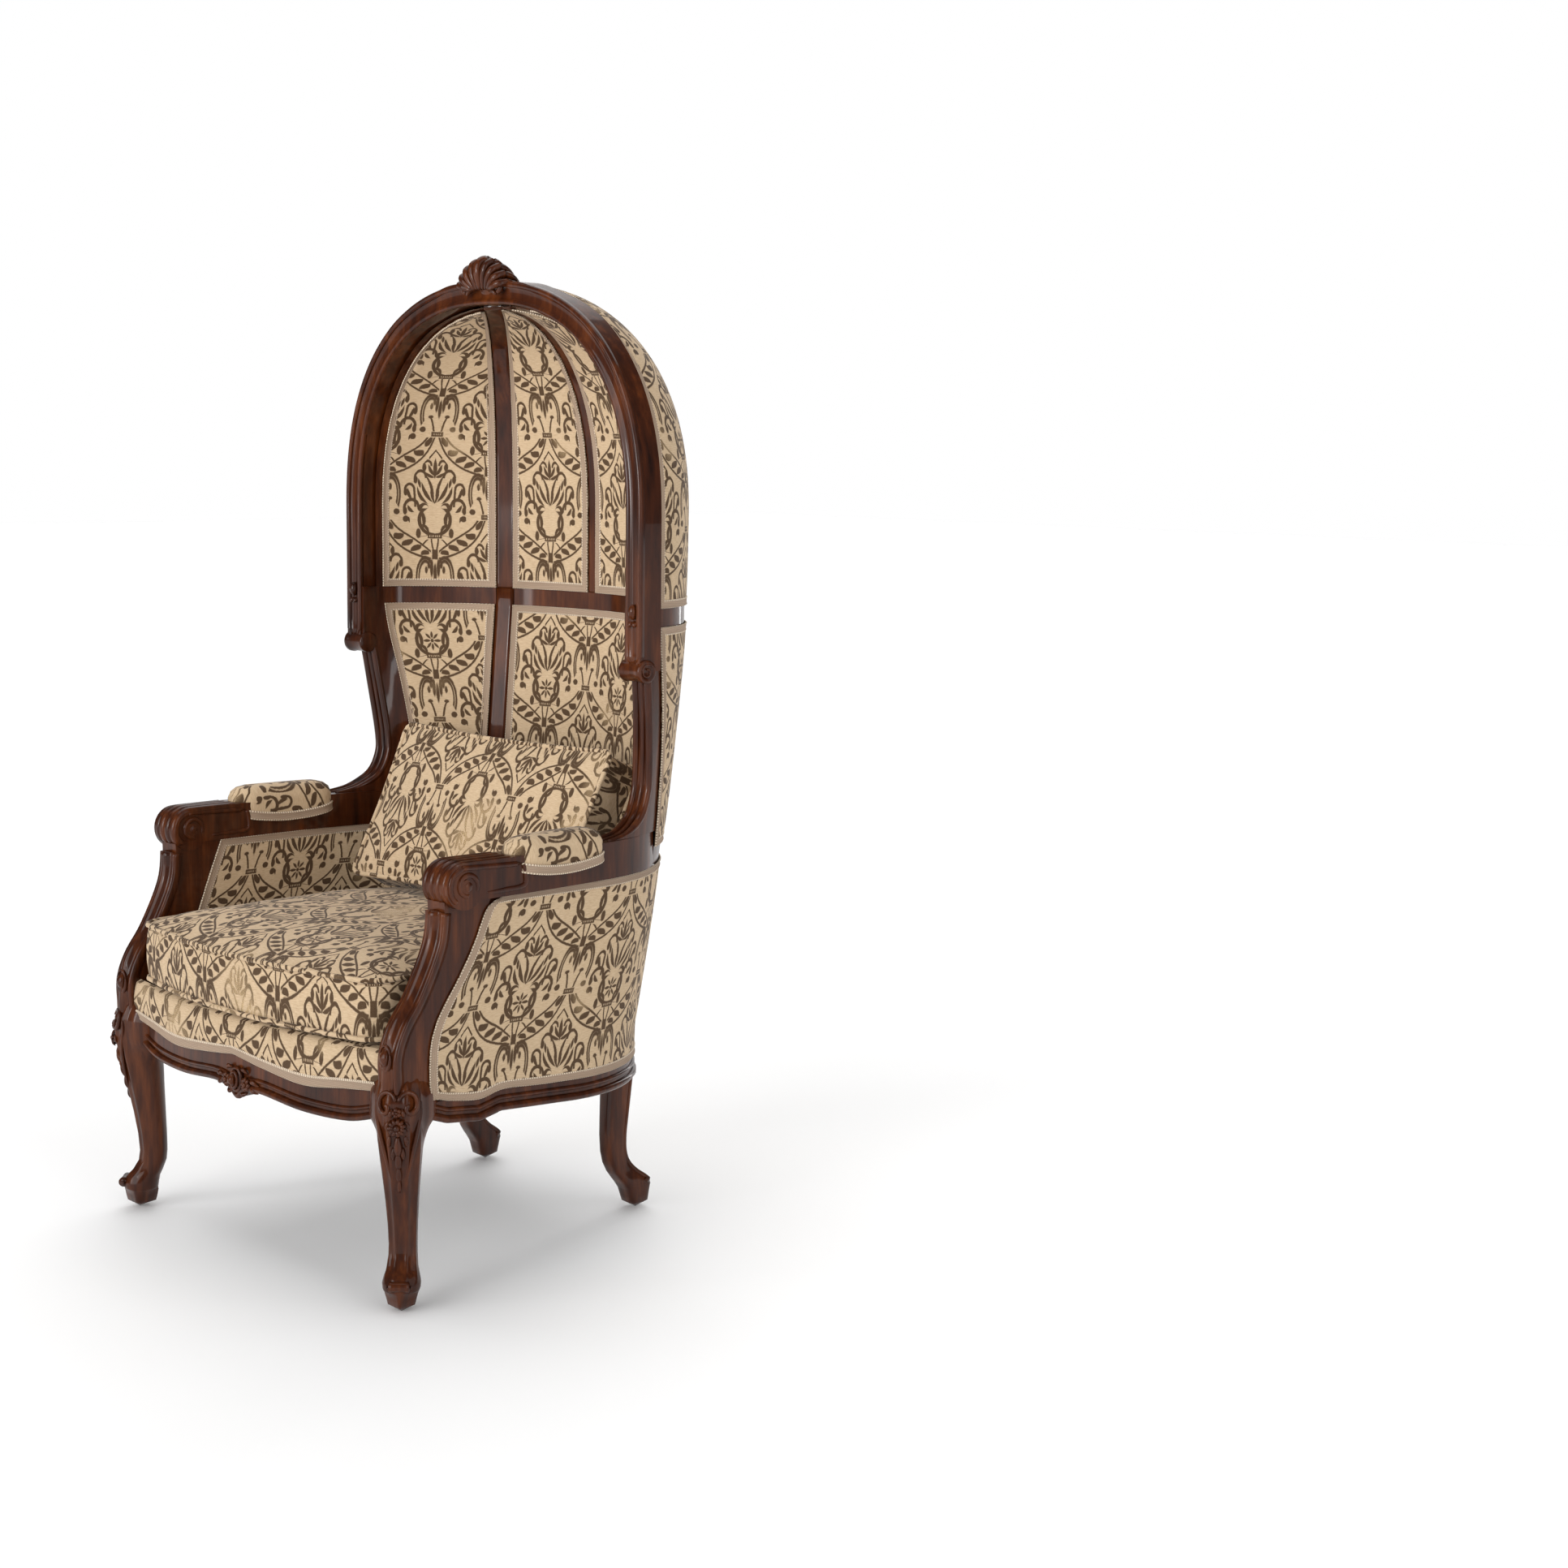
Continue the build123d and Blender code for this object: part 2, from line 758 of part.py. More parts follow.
# Armrests: a bar that follows the wall in plan and ends in a volute
armrests = {}
for name, side, index in sides:
    places = (volute_y, stile_back_y)
    outer = spread(arm_plan_shares, *places, arm_wall_x(0), arm_outer_x)
    inner = spread(arm_plan_inner_shares, *places, arm_wall_x(wood_depth), arm_inner_x)
    with BuildPart() as armrest:
        with BuildSketch(Plane.XY.offset(arm_rail_bottom)):
            with BuildLine():
                Spline(*[(side * x, y) for y, x in outer])
                Line((side * outer[-1][1], outer[-1][0]), (side * inner[-1][1], inner[-1][0]))
                Spline(*[(side * x, y) for y, x in inner])
                Line((side * inner[0][1], inner[0][0]), (side * outer[0][1], outer[0][0]))
            make_face()
        extrude(amount=arm_top - arm_rail_bottom)
        volute_start = (side * arm_inner_x, volute_y, volute_height)
        add(cylinder_along(volute_start, (side, 0, 0), volute_radius, arm_outer_x - arm_inner_x))
        eye_start = (side * (arm_inner_x - volute_eye_proud), volute_y, volute_height)
        eye_length = arm_outer_x - arm_inner_x + 2 * volute_eye_proud
        add(cylinder_along(eye_start, (side, 0, 0), volute_eye_radius, eye_length))
    armrests[side] = armrest.part
    export(armrest, f"armrest_{name}")


def support_outline():
    front, back = support_edges()
    Spline(*front)
    Line(front[-1], back[-1])
    Spline(*back)
    Line(back[0], front[0])


# Arm supports: S curves between the front legs and the volutes
for name, side, index in sides:
    near, far = sorted((side * support_inner_x, side * support_outer_x))
    with BuildPart() as support:
        add(side_prism(support_outline))
        add(box_between((near, -far_reach, 0), (far, far_reach, arm_top)), mode=Mode.INTERSECT)
        add(armrests[side], mode=Mode.SUBTRACT)
        for dowel_bar in joint_dowels:
            add(dowel_bar, mode=Mode.SUBTRACT)
    export(support, f"arm_support_{name}")


def bow_band(front_proud, depth, half_width, bottom, top):
    """A bowed band behind the front rail's face, moved forward by front_proud."""
    with BuildPart() as band:
        with BuildSketch(Plane.XY.offset(bottom)):
            with BuildLine():
                ends = front_rail_end_y - front_proud
                bow = front_rail_bow_y - front_proud
                ThreePointArc((-half_width, ends), (0, bow), (half_width, ends))
                Line((half_width, ends), (half_width, ends + depth))
                ThreePointArc((half_width, ends + depth), (0, bow + depth), (-half_width, ends + depth))
                Line((-half_width, ends + depth), (-half_width, ends))
            make_face()
        extrude(amount=top - bottom)
    return band.part


def under_front_line(shares, bottom):
    """A prism along Y below a line over the front rail, given by shares."""
    half = spread(shares, 0, rail_half_width, seat_rail_bottom, seat_rail_top)
    line = [(-x, z) for x, z in reversed(half[1:])] + half
    with BuildPart() as prism:
        with BuildSketch(Plane.XZ):
            with BuildLine():
                Spline(*line)
                right = [(far_reach, z) for z in (line[-1][1], bottom)]
                left = [(-far_reach, z) for z in (bottom, line[0][1])]
                Polyline(line[-1], *right, *left, line[0])
            make_face()
        extrude(amount=far_reach, both=True)
    return prism.part


def side_rail_outline():
    """What is cut away below the side rails, in the Y-Z plane."""
    places = (rail_front_y, seat_axis_y + seat_wall_depth, seat_rail_bottom, seat_rail_top)
    dip = spread(side_dip_shares, *places)
    sweep = spread(side_sweep_shares, *places)
    Spline(*dip)
    Spline(*sweep)
    below = seat_rail_bottom - cut_overrun
    Polyline(sweep[-1], (sweep[-1][0], below), (dip[0][0], below), dip[0])


# Fabric border above the front rail
with BuildPart() as front_border:
    add(bow_band(border_proud, border_depth, support_inner_x, seat_rail_bottom, deck_top))
    add(under_front_line(front_wave_shares, seat_rail_bottom - cut_overrun), mode=Mode.SUBTRACT)
    add(bow_band(0, front_rail_depth, far_reach / 2, seat_rail_bottom, seat_rail_top), mode=Mode.SUBTRACT)
    for side in (-1, 1):
        add(front_legs[side], mode=Mode.SUBTRACT)
export(front_border, "front_border")

# Front rail
with BuildPart() as front_rail:
    add(bow_band(0, front_rail_depth, rail_half_width, seat_rail_bottom, seat_rail_top))
    add(under_front_line(front_bottom_shares, seat_rail_bottom - cut_overrun), mode=Mode.SUBTRACT)
    add(front_border.part, mode=Mode.SUBTRACT)
    for dowel_bar in joint_dowels:
        add(dowel_bar, mode=Mode.SUBTRACT)
export(front_rail, "front_seat_rail")

# Side and back rails
for name, index in (("left", 0), ("back", 1), ("right", -1)):
    with BuildPart() as seat_rail:
        add(wall_band(0, wood_depth, seat_rail_bottom, seat_rail_top, index))
        add(box_over(rail_front_y, seat_rail_bottom, seat_rail_top), mode=Mode.INTERSECT)
        if index != 1:
            add(side_prism(side_rail_outline), mode=Mode.SUBTRACT)
        add(lower_covers[name], mode=Mode.SUBTRACT)
        for leg in back_legs.values():
            add(leg, mode=Mode.SUBTRACT)
    export(seat_rail, "back_seat_rail" if index == 1 else f"side_seat_rail_{name}")

# Corner blocks, glued and screwed inside the seat frame
with BuildPart() as corner_blocks:
    for name, side, index in sides:
        block_bottom = seat_rail_top - block_height
        corner = (side * (seat_half_width - wood_depth), rail_front_y)
        triangle = (corner, (corner[0] - side * block_leg, corner[1]), (corner[0], corner[1] + block_leg))
        add(column(triangle, block_bottom, seat_rail_top))
        post_inside = (post_seat_x - wood_depth * rib_cos, post_seat_y - wood_depth * rib_sin)
        middle = (side * post_inside[0], post_inside[1], block_bottom)
        with BuildSketch(Plane(origin=middle, x_dir=(side * rib_cos, rib_sin, 0), z_dir=(0, 0, 1))):
            Rectangle(block_leg, block_leg * 2)
        extrude(amount=block_height)
    add(walls[wood_depth], mode=Mode.INTERSECT)
    for timber in (*front_legs.values(), *back_legs.values(), *block_screws, front_rail.part):
        add(timber, mode=Mode.SUBTRACT)
export(corner_blocks, "corner_blocks")

with BuildPart() as screws:
    for screw_bar in block_screws:
        add(screw_bar)
export(screws, "block_screws")

with BuildPart() as dowels:
    for dowel_bar in joint_dowels:
        add(dowel_bar)
export(dowels, "joint_dowels")

# Webbing over the rails, the deck pad on it and the dust cover under it
with BuildPart() as webbing:
    for share in webbing_shares:
        reach = (1 - share**2) ** 0.5
        back = seat_axis_y + (seat_wall_depth - core_inner) * reach - webbing_end_gap
        front = front_rail_end_y + border_depth
        with BuildSketch(Plane.XY.offset(seat_rail_top)):
            with Locations(((seat_half_width - wood_depth) * share, (front + back) / 2)):
                Rectangle(webbing_width, back - front)
        extrude(amount=webbing_thickness)
    for share in cross_webbing_shares:
        place = seat_axis_y + (seat_wall_depth - wood_depth) * share
        across = (seat_half_width - core_inner) * (1 - max(share, 0) ** 2) ** 0.5 - webbing_end_gap
        with BuildSketch(Plane.XY.offset(seat_rail_top)):
            with Locations((0, place)):
                Rectangle(2 * across, webbing_width)
        extrude(amount=webbing_thickness)
    for leg in back_legs.values():
        add(leg, mode=Mode.SUBTRACT)
export(webbing, "seat_webbing")

with BuildPart() as deck_pad:
    add(walls[lining_inner])
    add(box_over(front_rail_bow_y, wall_foot, deck_top), mode=Mode.INTERSECT)
    add(bow_band(far_reach, far_reach, support_inner_x, wall_foot, deck_top), mode=Mode.SUBTRACT)
    add(front_border.part, mode=Mode.SUBTRACT)
export(deck_pad, "seat_deck_pad")

with BuildPart() as dust_cover:
    add(walls[wood_depth])
    cover_bottom = seat_rail_top - block_height - dust_cover_thickness
    add(box_over(rail_front_y, cover_bottom, cover_bottom + dust_cover_thickness), mode=Mode.INTERSECT)
    for timber in (*front_legs.values(), *back_legs.values()):
        add(timber, mode=Mode.SUBTRACT)
export(dust_cover, "dust_cover")

# Arm pads: domed, over the armrests' middles
for name, side, index in sides:
    with BuildPart() as arm_pad:
        for height, share in zip((pad_skirt_height, arm_top, pad_shoulder, pad_crown), pad_size_shares):
            middle = (side * pad_x, pad_y, height)
            with BuildSketch(Plane(origin=middle, x_dir=(side * pad_slant, 1, 0), z_dir=(0, 0, 1))):
                SlotOverall(pad_length * (1 + share) / 2, pad_width * share)
        loft()
        add(armrests[side], mode=Mode.SUBTRACT)
    export(arm_pad, f"arm_pad_{name}")


def raised_oval(width, height, proud, place):
    """A domed oval boss that stands forward of a place on an upright face."""
    with BuildPart() as body:
        for proud_share, size_share in oval_shares:
            with BuildSketch(Plane.XZ.offset(-place[1] + proud * proud_share)):
                with Locations((place[0], place[2])):
                    Ellipse(width / 2 * size_share, height / 2 * size_share)
        loft()
    return body.part


# Crest carving: a fan of lobes on a saddle over the crown
with BuildPart() as crest:
    for lobe in range(crest_lobe_count):
        turn = radians(crest_spread) * (lobe / (crest_lobe_count - 1) - 1 / 2)
        reach = crest_side_length + (crest_top_length - crest_side_length) * cos(turn) ** 2
        direction = (sin(turn), 0, cos(turn))
        with BuildSketch(Plane(origin=(0, crest_y, crest_root_height), z_dir=direction)):
            Ellipse(crest_root_radius, crest_thickness / 2)
        with BuildSketch(Plane(origin=(0, crest_y, crest_root_height), z_dir=direction).offset(reach)):
            Circle(crest_lobe_radius)
        loft()
    for lobe in range(crest_lobe_count):
        turn = radians(crest_spread) * (lobe / (crest_lobe_count - 1) - 1 / 2)
        reach = crest_side_length + (crest_top_length - crest_side_length) * cos(turn) ** 2
        tip = (reach * sin(turn), crest_y, crest_root_height + reach * cos(turn))
        with Locations(tip):
            Sphere(crest_lobe_radius)
    with Locations((0, crest_y, crest_root_height)):
        Box(crest_saddle_width, crest_thickness, crest_saddle_height)
    add(arch.part, mode=Mode.SUBTRACT)
export(crest, "crest_carving")

# Apron carving
with BuildPart() as apron_boss:
    boss_z = seat_rail_bottom + rail_height * boss_height_share
    rosette_z = seat_rail_bottom + rail_height * rosette_height_share
    add(raised_oval(boss_width, boss_height, boss_depth, (0, front_rail_bow_y, boss_z)))
    for side in (-1, 1):
        place = (side * rosette_offset, front_rail_bow_y, rosette_z)
        add(raised_oval(rosette_width, rosette_height, rosette_depth, place))
    add(front_rail.part, mode=Mode.SUBTRACT)
    add(front_border.part, mode=Mode.SUBTRACT)
export(apron_boss, "apron_boss")


def cushion_outline(inset):
    """The seat cushion's plan: the walls behind, a bow in front."""
    side = seat_half_width - lining_inner - cushion_side_gap - inset
    depth = seat_wall_depth - lining_inner - cushion_side_gap - inset
    front = cushion_front_half_width - inset
    ends = cushion_front_y + inset
    EllipticalCenterArc((0, seat_axis_y), side, depth, start_angle=0, arc_size=180)
    Line((-side, seat_axis_y), (-front, ends))
    ThreePointArc((-front, ends), (0, cushion_front_bow_y + inset), (front, ends))
    Line((front, ends), (side, seat_axis_y))


# Loose seat cushion: boxed, with a crown and sides drawn in between the piped edges
boxing_middle = (cushion_boxing_bottom + cushion_boxing_top) / 2
cushion_levels = (
    (cushion_bottom, cushion_roll),
    (cushion_boxing_bottom, 0),
    (boxing_middle, cushion_draw_in),
    (cushion_boxing_top, 0),
)
crown_rise = cushion_crown - cushion_boxing_top
with BuildPart() as seat_cushion:
    for height, inset in cushion_levels:
        with BuildSketch(Plane.XY.offset(height)):
            with BuildLine():
                cushion_outline(inset)
            make_face()
    loft()
    for rise_share, inset_share in crown_shares:
        with BuildSketch(Plane.XY.offset(cushion_boxing_top + crown_rise * rise_share)):
            with BuildLine():
                cushion_outline(crown_spread * inset_share)
            make_face()
    loft()
export(seat_cushion, "seat_cushion")

# Loose back pillow: boxed, leaning back on the seat cushion
lean = radians(pillow_lean)
pillow_origin = (0, pillow_front_y, pillow_front_height)
pillow_plane = Plane(origin=pillow_origin, x_dir=(-1, 0, 0), z_dir=(0, cos(lean), -sin(lean)))


def pillow_outline(inset):
    """The pillow's face, with its four edges drawn in."""
    across = pillow_half_width - inset
    low = inset
    high = pillow_height - inset
    middle = (low + high) / 2
    corners = ((-across, low), (across, low), (across, high), (-across, high))
    bows = ((0, low + pillow_edge_sag), (across - pillow_edge_sag, middle))
    bows += ((0, high - pillow_edge_sag), (-across + pillow_edge_sag, middle))
    for start, bow, end in zip(corners, bows, corners[1:] + corners[:1]):
        ThreePointArc(start, bow, end)


with BuildPart() as back_pillow:
    for depth_share, inset_share in pillow_shares:
        with BuildSketch(pillow_plane.offset(pillow_thickness * depth_share)):
            with BuildLine():
                pillow_outline(pillow_crown_inset * inset_share)
            make_face()
    loft(ruled=True)
export(back_pillow, "back_pillow")
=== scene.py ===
import bpy
import bmesh
import functools
import math
import mathutils.noise
from mathutils import Euler, Matrix, Vector


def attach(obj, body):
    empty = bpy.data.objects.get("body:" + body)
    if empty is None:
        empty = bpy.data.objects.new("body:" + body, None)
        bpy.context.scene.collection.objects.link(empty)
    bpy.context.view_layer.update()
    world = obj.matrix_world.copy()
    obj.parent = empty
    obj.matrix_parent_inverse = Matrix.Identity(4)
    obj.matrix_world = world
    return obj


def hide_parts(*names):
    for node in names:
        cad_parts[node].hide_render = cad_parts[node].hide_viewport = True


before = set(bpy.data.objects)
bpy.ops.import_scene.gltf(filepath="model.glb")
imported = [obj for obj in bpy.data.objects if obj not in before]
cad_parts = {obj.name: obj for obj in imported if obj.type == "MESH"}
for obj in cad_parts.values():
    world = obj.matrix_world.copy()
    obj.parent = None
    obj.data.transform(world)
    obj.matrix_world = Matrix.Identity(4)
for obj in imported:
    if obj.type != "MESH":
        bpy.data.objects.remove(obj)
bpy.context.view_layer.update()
SIDES = (("left", -1), ("right", 1))
FORWARD = Vector((0, -1, 0))
BACKWARD = Vector((0, 1, 0))
UPWARD = Vector((0, 0, 1))

# Camera, floor and light.
# The camera stands where the photograph of the chair's front was taken.
# The lights are soft suns and strips round a pale floor, and one weak lamp that reaches into the hood.
CAMERA_PLACE = (3.454, -2.639, 1.322)
CAMERA_AROUND = 44.77
CAMERA_DOWN = 7.58
CAMERA_ROLL = 0.78
SKY_POWER = 0.42
SKY_LOSS_IN_GLOSS = 0.34
LAMP_TARGET = (0, 0, 0.8)
STRIP_WIDE = 0.34
STRIP_HIGH = 2.6
camera_data = bpy.data.cameras.new("camera")
camera_data.lens = 59.49
camera_data.sensor_width = 36
camera = bpy.data.objects.new("camera", camera_data)
bpy.context.scene.collection.objects.link(camera)
turn = Euler((math.radians(90 - CAMERA_DOWN), 0, math.radians(CAMERA_AROUND))).to_matrix()
turn = turn @ Matrix.Rotation(math.radians(CAMERA_ROLL), 3, "Z")
camera.matrix_world = Matrix.Translation(CAMERA_PLACE) @ turn.to_4x4()
bpy.context.scene.camera = camera


def feed(tree, node, values):
    """Fill a node's inputs by name or number: another node's socket is linked, anything else is set."""
    for key, value in values.items():
        if isinstance(value, bpy.types.NodeSocket):
            tree.links.new(value, node.inputs[key])
        else:
            node.inputs[key].default_value = value


def add_node(tree, kind, values=None, **settings):
    """A new shader node with its settings and its inputs."""
    node = tree.nodes.new(f"ShaderNode{kind}")
    for setting, value in settings.items():
        setattr(node, setting, value)
    feed(tree, node, values or {})
    return node


def new_material(name):
    """A material with its Principled shader, and the tree to wire it in."""
    material = bpy.data.materials.new(name)
    material.use_nodes = True
    tree = material.node_tree
    return material, tree, tree.nodes["Principled BSDF"]


def finished(bm, name, materials, smooth=True):
    """A mesh object made from a bmesh, with its materials."""
    mesh = bpy.data.meshes.new(name)
    bm.to_mesh(mesh)
    bm.free()
    piece = bpy.data.objects.new(name, mesh)
    bpy.context.scene.collection.objects.link(piece)
    for material in materials:
        mesh.materials.append(material)
    for face in mesh.polygons:
        face.use_smooth = smooth
    return piece


floor_material, floor_tree, floor_shader = new_material("studio_floor")
feed(floor_tree, floor_shader, {"Base Color": (0.97, 0.97, 0.97, 1), "Roughness": 0.7})
bm = bmesh.new()
bmesh.ops.create_grid(bm, x_segments=1, y_segments=1, size=30)
finished(bm, "studio_floor", [floor_material], smooth=False)

world = bpy.data.worlds.new("studio")
world.use_nodes = True
sky = world.node_tree
ray = add_node(sky, "LightPath").outputs
dimmed = {0: ray["Is Glossy Ray"], 1: -SKY_LOSS_IN_GLOSS, 2: SKY_POWER}
dimmer = add_node(sky, "Math", dimmed, operation="MULTIPLY_ADD")
soft_light = sky.nodes["Background"]
feed(sky, soft_light, {"Color": (1, 1, 1, 1), "Strength": dimmer.outputs[0]})
backdrop = add_node(sky, "Background", {"Color": (1, 1, 1, 1)})
choices = {"Fac": ray["Is Camera Ray"], 1: soft_light.outputs[0], 2: backdrop.outputs[0]}
either = add_node(sky, "MixShader", choices)
feed(sky, sky.nodes["World Output"], {"Surface": either.outputs[0]})
bpy.context.scene.world = world
bpy.context.scene.view_settings.view_transform = "Standard"


def add_lamp(name, kind, place, target, power, **settings):
    """A lamp at a place, aimed at a target."""
    data = bpy.data.lights.new(name, kind)
    data.energy = power
    for setting, value in settings.items():
        setattr(data, setting, value)
    lamp = bpy.data.objects.new(name, data)
    bpy.context.scene.collection.objects.link(lamp)
    aim = Vector(target) - Vector(place)
    lamp.matrix_world = Matrix.Translation(place) @ aim.to_track_quat("-Z", "Y").to_matrix().to_4x4()


# Each sun's place, how wide it looks in degrees, and its power
for name, place, wide, power in (
    ("key", (0.3, -4.6, 2.3), 50, 1.75),
    ("fill", (4.6, 0.4, 2.6), 70, 0.8),
    ("top", (-1.2, 0.6, 4.2), 60, 1.05),
    ("back", (-3.2, 3.4, 3.0), 50, 0.6),
):
    add_lamp(name, "SUN", place, LAMP_TARGET, power, angle=math.radians(wide))
for name, place, power in (
    ("left_strip", (-1.5, -4.2, 1.5), 19),
    ("right_strip", (4.3, -0.7, 1.4), 16),
    ("back_strip", (-1.2, 4.4, 1.5), 16),
):
    add_lamp(name, "AREA", place, (0, 0, place[2]), power,
             shape="RECTANGLE", size=STRIP_WIDE, size_y=STRIP_HIGH)
add_lamp("hood_light", "AREA", (0.5, -2.9, 1.5), (0, 0.15, 1.3), 2.4,
         shape="DISK", size=0.9, spread=math.radians(46))

# Show wood: mahogany stained dark red-brown under a glossy lacquer.
# The model's own timbers take it here, and the carved pieces take it in their own sections.
LACQUER_TONES = ((0.012, 0.0026, 0.0010), (0.045, 0.0098, 0.0022), (0.120, 0.0300, 0.0058))
RAW_WOOD_TONES = ((0.2, 0.11, 0.05), (0.3, 0.18, 0.09), (0.42, 0.28, 0.15))
TONE_PLACES = (0.30, 0.5, 0.72)
PORE_DEPTH = 0.0006


def wiring(tree):
    """A function that adds a math node to a tree and gives its output."""
    def m(operation, *values, clamp=False):
        return add_node(tree, "Math", dict(enumerate(values)), operation=operation,
                        use_clamp=clamp).outputs[0]
    return m


def new_group(name, inputs, outputs):
    """A shader node group with named sockets, and its input and output nodes."""
    group = bpy.data.node_groups.new(name, "ShaderNodeTree")
    for way, sockets in (("INPUT", inputs), ("OUTPUT", outputs)):
        for label, kind in sockets:
            group.interface.new_socket(name=label, in_out=way, socket_type=f"NodeSocket{kind}")
    return group, group.nodes.new("NodeGroupInput"), group.nodes.new("NodeGroupOutput")


def noise(tree, vector, scale, detail, stretch=(1, 1, 1), rough=0.5):
    """A noise texture's value, on coordinates stretched along each axis."""
    mapping = add_node(tree, "Mapping", {"Scale": stretch, "Vector": vector})
    values = {"Scale": scale, "Detail": detail, "Roughness": rough, "Vector": mapping.outputs[0]}
    return add_node(tree, "TexNoise", values).outputs["Fac"]


def ramp(tree, factor, stops):
    """A colour ramp over a factor; stops are (place, colour)."""
    node = add_node(tree, "ValToRGB", {"Fac": factor})
    elements = node.color_ramp.elements
    while len(elements) < len(stops):
        elements.new(1)
    for element, (place, colour) in zip(elements, stops):
        element.position = place
        element.color = (*colour, 1)
    return node.outputs["Color"]


def bumped(tree, height, depth, strength=1):
    """The normal of a surface that stands up by a height between 0 and 1, times a depth."""
    values = {"Height": height, "Distance": depth, "Strength": strength}
    return add_node(tree, "Bump", values).outputs["Normal"]


grain_group, grain_in, grain_out = new_group(
    "timber_figure", [("Place", "Vector")], [("Figure", "Float"), ("Pores", "Float")])
grain_place = grain_in.outputs["Place"]
fibres = noise(grain_group, grain_place, 9, 5, (7, 7, 0.8), 0.6)
clouds = noise(grain_group, grain_place, 5, 2)
pores = noise(grain_group, grain_place, 60, 3, (6, 6, 0.5), 0.7)
m = wiring(grain_group)
figure = m("MULTIPLY_ADD", fibres, 0.65, m("MULTIPLY", clouds, 0.35))
feed(grain_group, grain_out, {"Figure": figure, "Pores": pores})


def wood_material(name, tones, gloss):
    """Timber with its grain, in tones from dark to light; gloss is the lacquer's weight."""
    material, tree, shader = new_material(name)
    where = add_node(tree, "TexCoord").outputs["Object"]
    grain = add_node(tree, "Group", {"Place": where}, node_tree=grain_group).outputs
    m = wiring(tree)
    feed(tree, shader, {
        "Base Color": ramp(tree, grain["Figure"], tuple(zip(TONE_PLACES, tones))),
        "Roughness": m("MULTIPLY_ADD", grain["Pores"], 0.2, 0.62 - 0.34 * gloss),
        "Normal": bumped(tree, grain["Pores"], PORE_DEPTH, 0.12),
        "Specular IOR Level": 0.08,
        "Coat Weight": 0.45 * gloss,
        "Coat Roughness": 0.07,
    })
    return material


lacquer = wood_material("dark_lacquered_mahogany", LACQUER_TONES, 0.9)
raw_wood = wood_material("raw_frame_wood", RAW_WOOD_TONES, 0.0)
SINGLE_TIMBERS = (
    "hood_centre_rib", "middle_rail_back", "front_seat_rail", "back_seat_rail", "crest_carving",
    "apron_boss",
)
PAIRED_TIMBERS = (
    "arch_crown", "arch_stile", "hood_corner_rib", "middle_rail", "front_leg", "back_leg", "arm_rail",
    "armrest", "arm_support", "side_seat_rail",
)


def finish_node(node, material):
    """Give a solid of the model its finish."""
    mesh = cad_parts[node].data
    mesh.materials.clear()
    mesh.materials.append(material)


for node in SINGLE_TIMBERS:
    finish_node(node, lacquer)
for name, side in SIDES:
    for timber in PAIRED_TIMBERS:
        finish_node(f"{timber}_{name}", lacquer)
for node in ("corner_blocks", "joint_dowels"):
    finish_node(node, raw_wood)

# Hidden steel screws, jute webbing, black dust cloth and hair stuffing.
# They show only when the chair is turned over or taken apart.
steel, steel_tree, steel_shader = new_material("zinc_screw")
steel_spots = noise(steel_tree, add_node(steel_tree, "TexCoord").outputs["Object"], 700, 3)
steel_tones = ramp(steel_tree, steel_spots, ((0.3, (0.3, 0.3, 0.32)), (0.7, (0.6, 0.6, 0.6))))
feed(steel_tree, steel_shader, {"Base Color": steel_tones, "Metallic": 1, "Roughness": 0.35})
finish_node("block_screws", steel)


def coarse_cloth(name, dark, light, pitch):
    """A plain woven cloth, on object coordinates; pitch is the threads' spacing."""
    material, tree, shader = new_material(name)
    where = add_node(tree, "TexCoord").outputs["Object"]
    parts = add_node(tree, "SeparateXYZ", {0: where}).outputs
    m = wiring(tree)
    threads = [m("SINE", m("MULTIPLY", parts[axis], 2 * math.pi / pitch)) for axis in (0, 1)]
    weave = m("MULTIPLY_ADD", m("MULTIPLY", *threads), 0.5, 0.5)
    slub = noise(tree, where, 160, 3)
    mixture = m("ADD", m("MULTIPLY", weave, 0.4), m("MULTIPLY", slub, 0.6))
    feed(tree, shader, {
        "Base Color": ramp(tree, mixture, ((0.25, dark), (0.75, light))),
        "Roughness": 0.95,
        "Normal": bumped(tree, weave, pitch / 6),
    })
    return material


jute = coarse_cloth("jute_webbing", (0.2, 0.13, 0.06), (0.42, 0.31, 0.18), 0.004)
black_cloth = coarse_cloth("black_dust_cloth", (0.004, 0.004, 0.004), (0.02, 0.02, 0.02), 0.0016)
hessian = coarse_cloth("hessian_over_stuffing", (0.25, 0.19, 0.11), (0.5, 0.41, 0.28), 0.0024)
finish_node("seat_webbing", jute)
finish_node("dust_cover", black_cloth)
for node in ("hood_side_cores", "hood_back_cores", "arm_cores", "wing_cores", "back_core"):
    finish_node(node, hessian)

# Damask: a tan ribbed ground with a raised olive-brown chenille figure.
# Rows of urns with palmettes stand in a half-drop lattice of leaf bands; widths here are in millimetres.
MOTIF_WIDE = 110
MOTIF_HIGH = 150
STITCH_WIDE = 1130
STITCH_HIGH = 1000
THREAD_WOBBLE = 0.0016
damask_group, damask_in, damask_out = new_group("damask_figure", [("Place", "Vector")], [("Figure", "Float")])
m = wiring(damask_group)
split = add_node(damask_group, "SeparateXYZ", {0: damask_in.outputs["Place"]}).outputs
across = m("MULTIPLY", split[0], STITCH_WIDE)
along = m("MULTIPLY", split[1], STITCH_HIGH)
row = m("FLOOR", m("DIVIDE", along, MOTIF_HIGH))
low_y = m("SUBTRACT", m("SUBTRACT", along, m("MULTIPLY", row, MOTIF_HIGH)), MOTIF_HIGH)
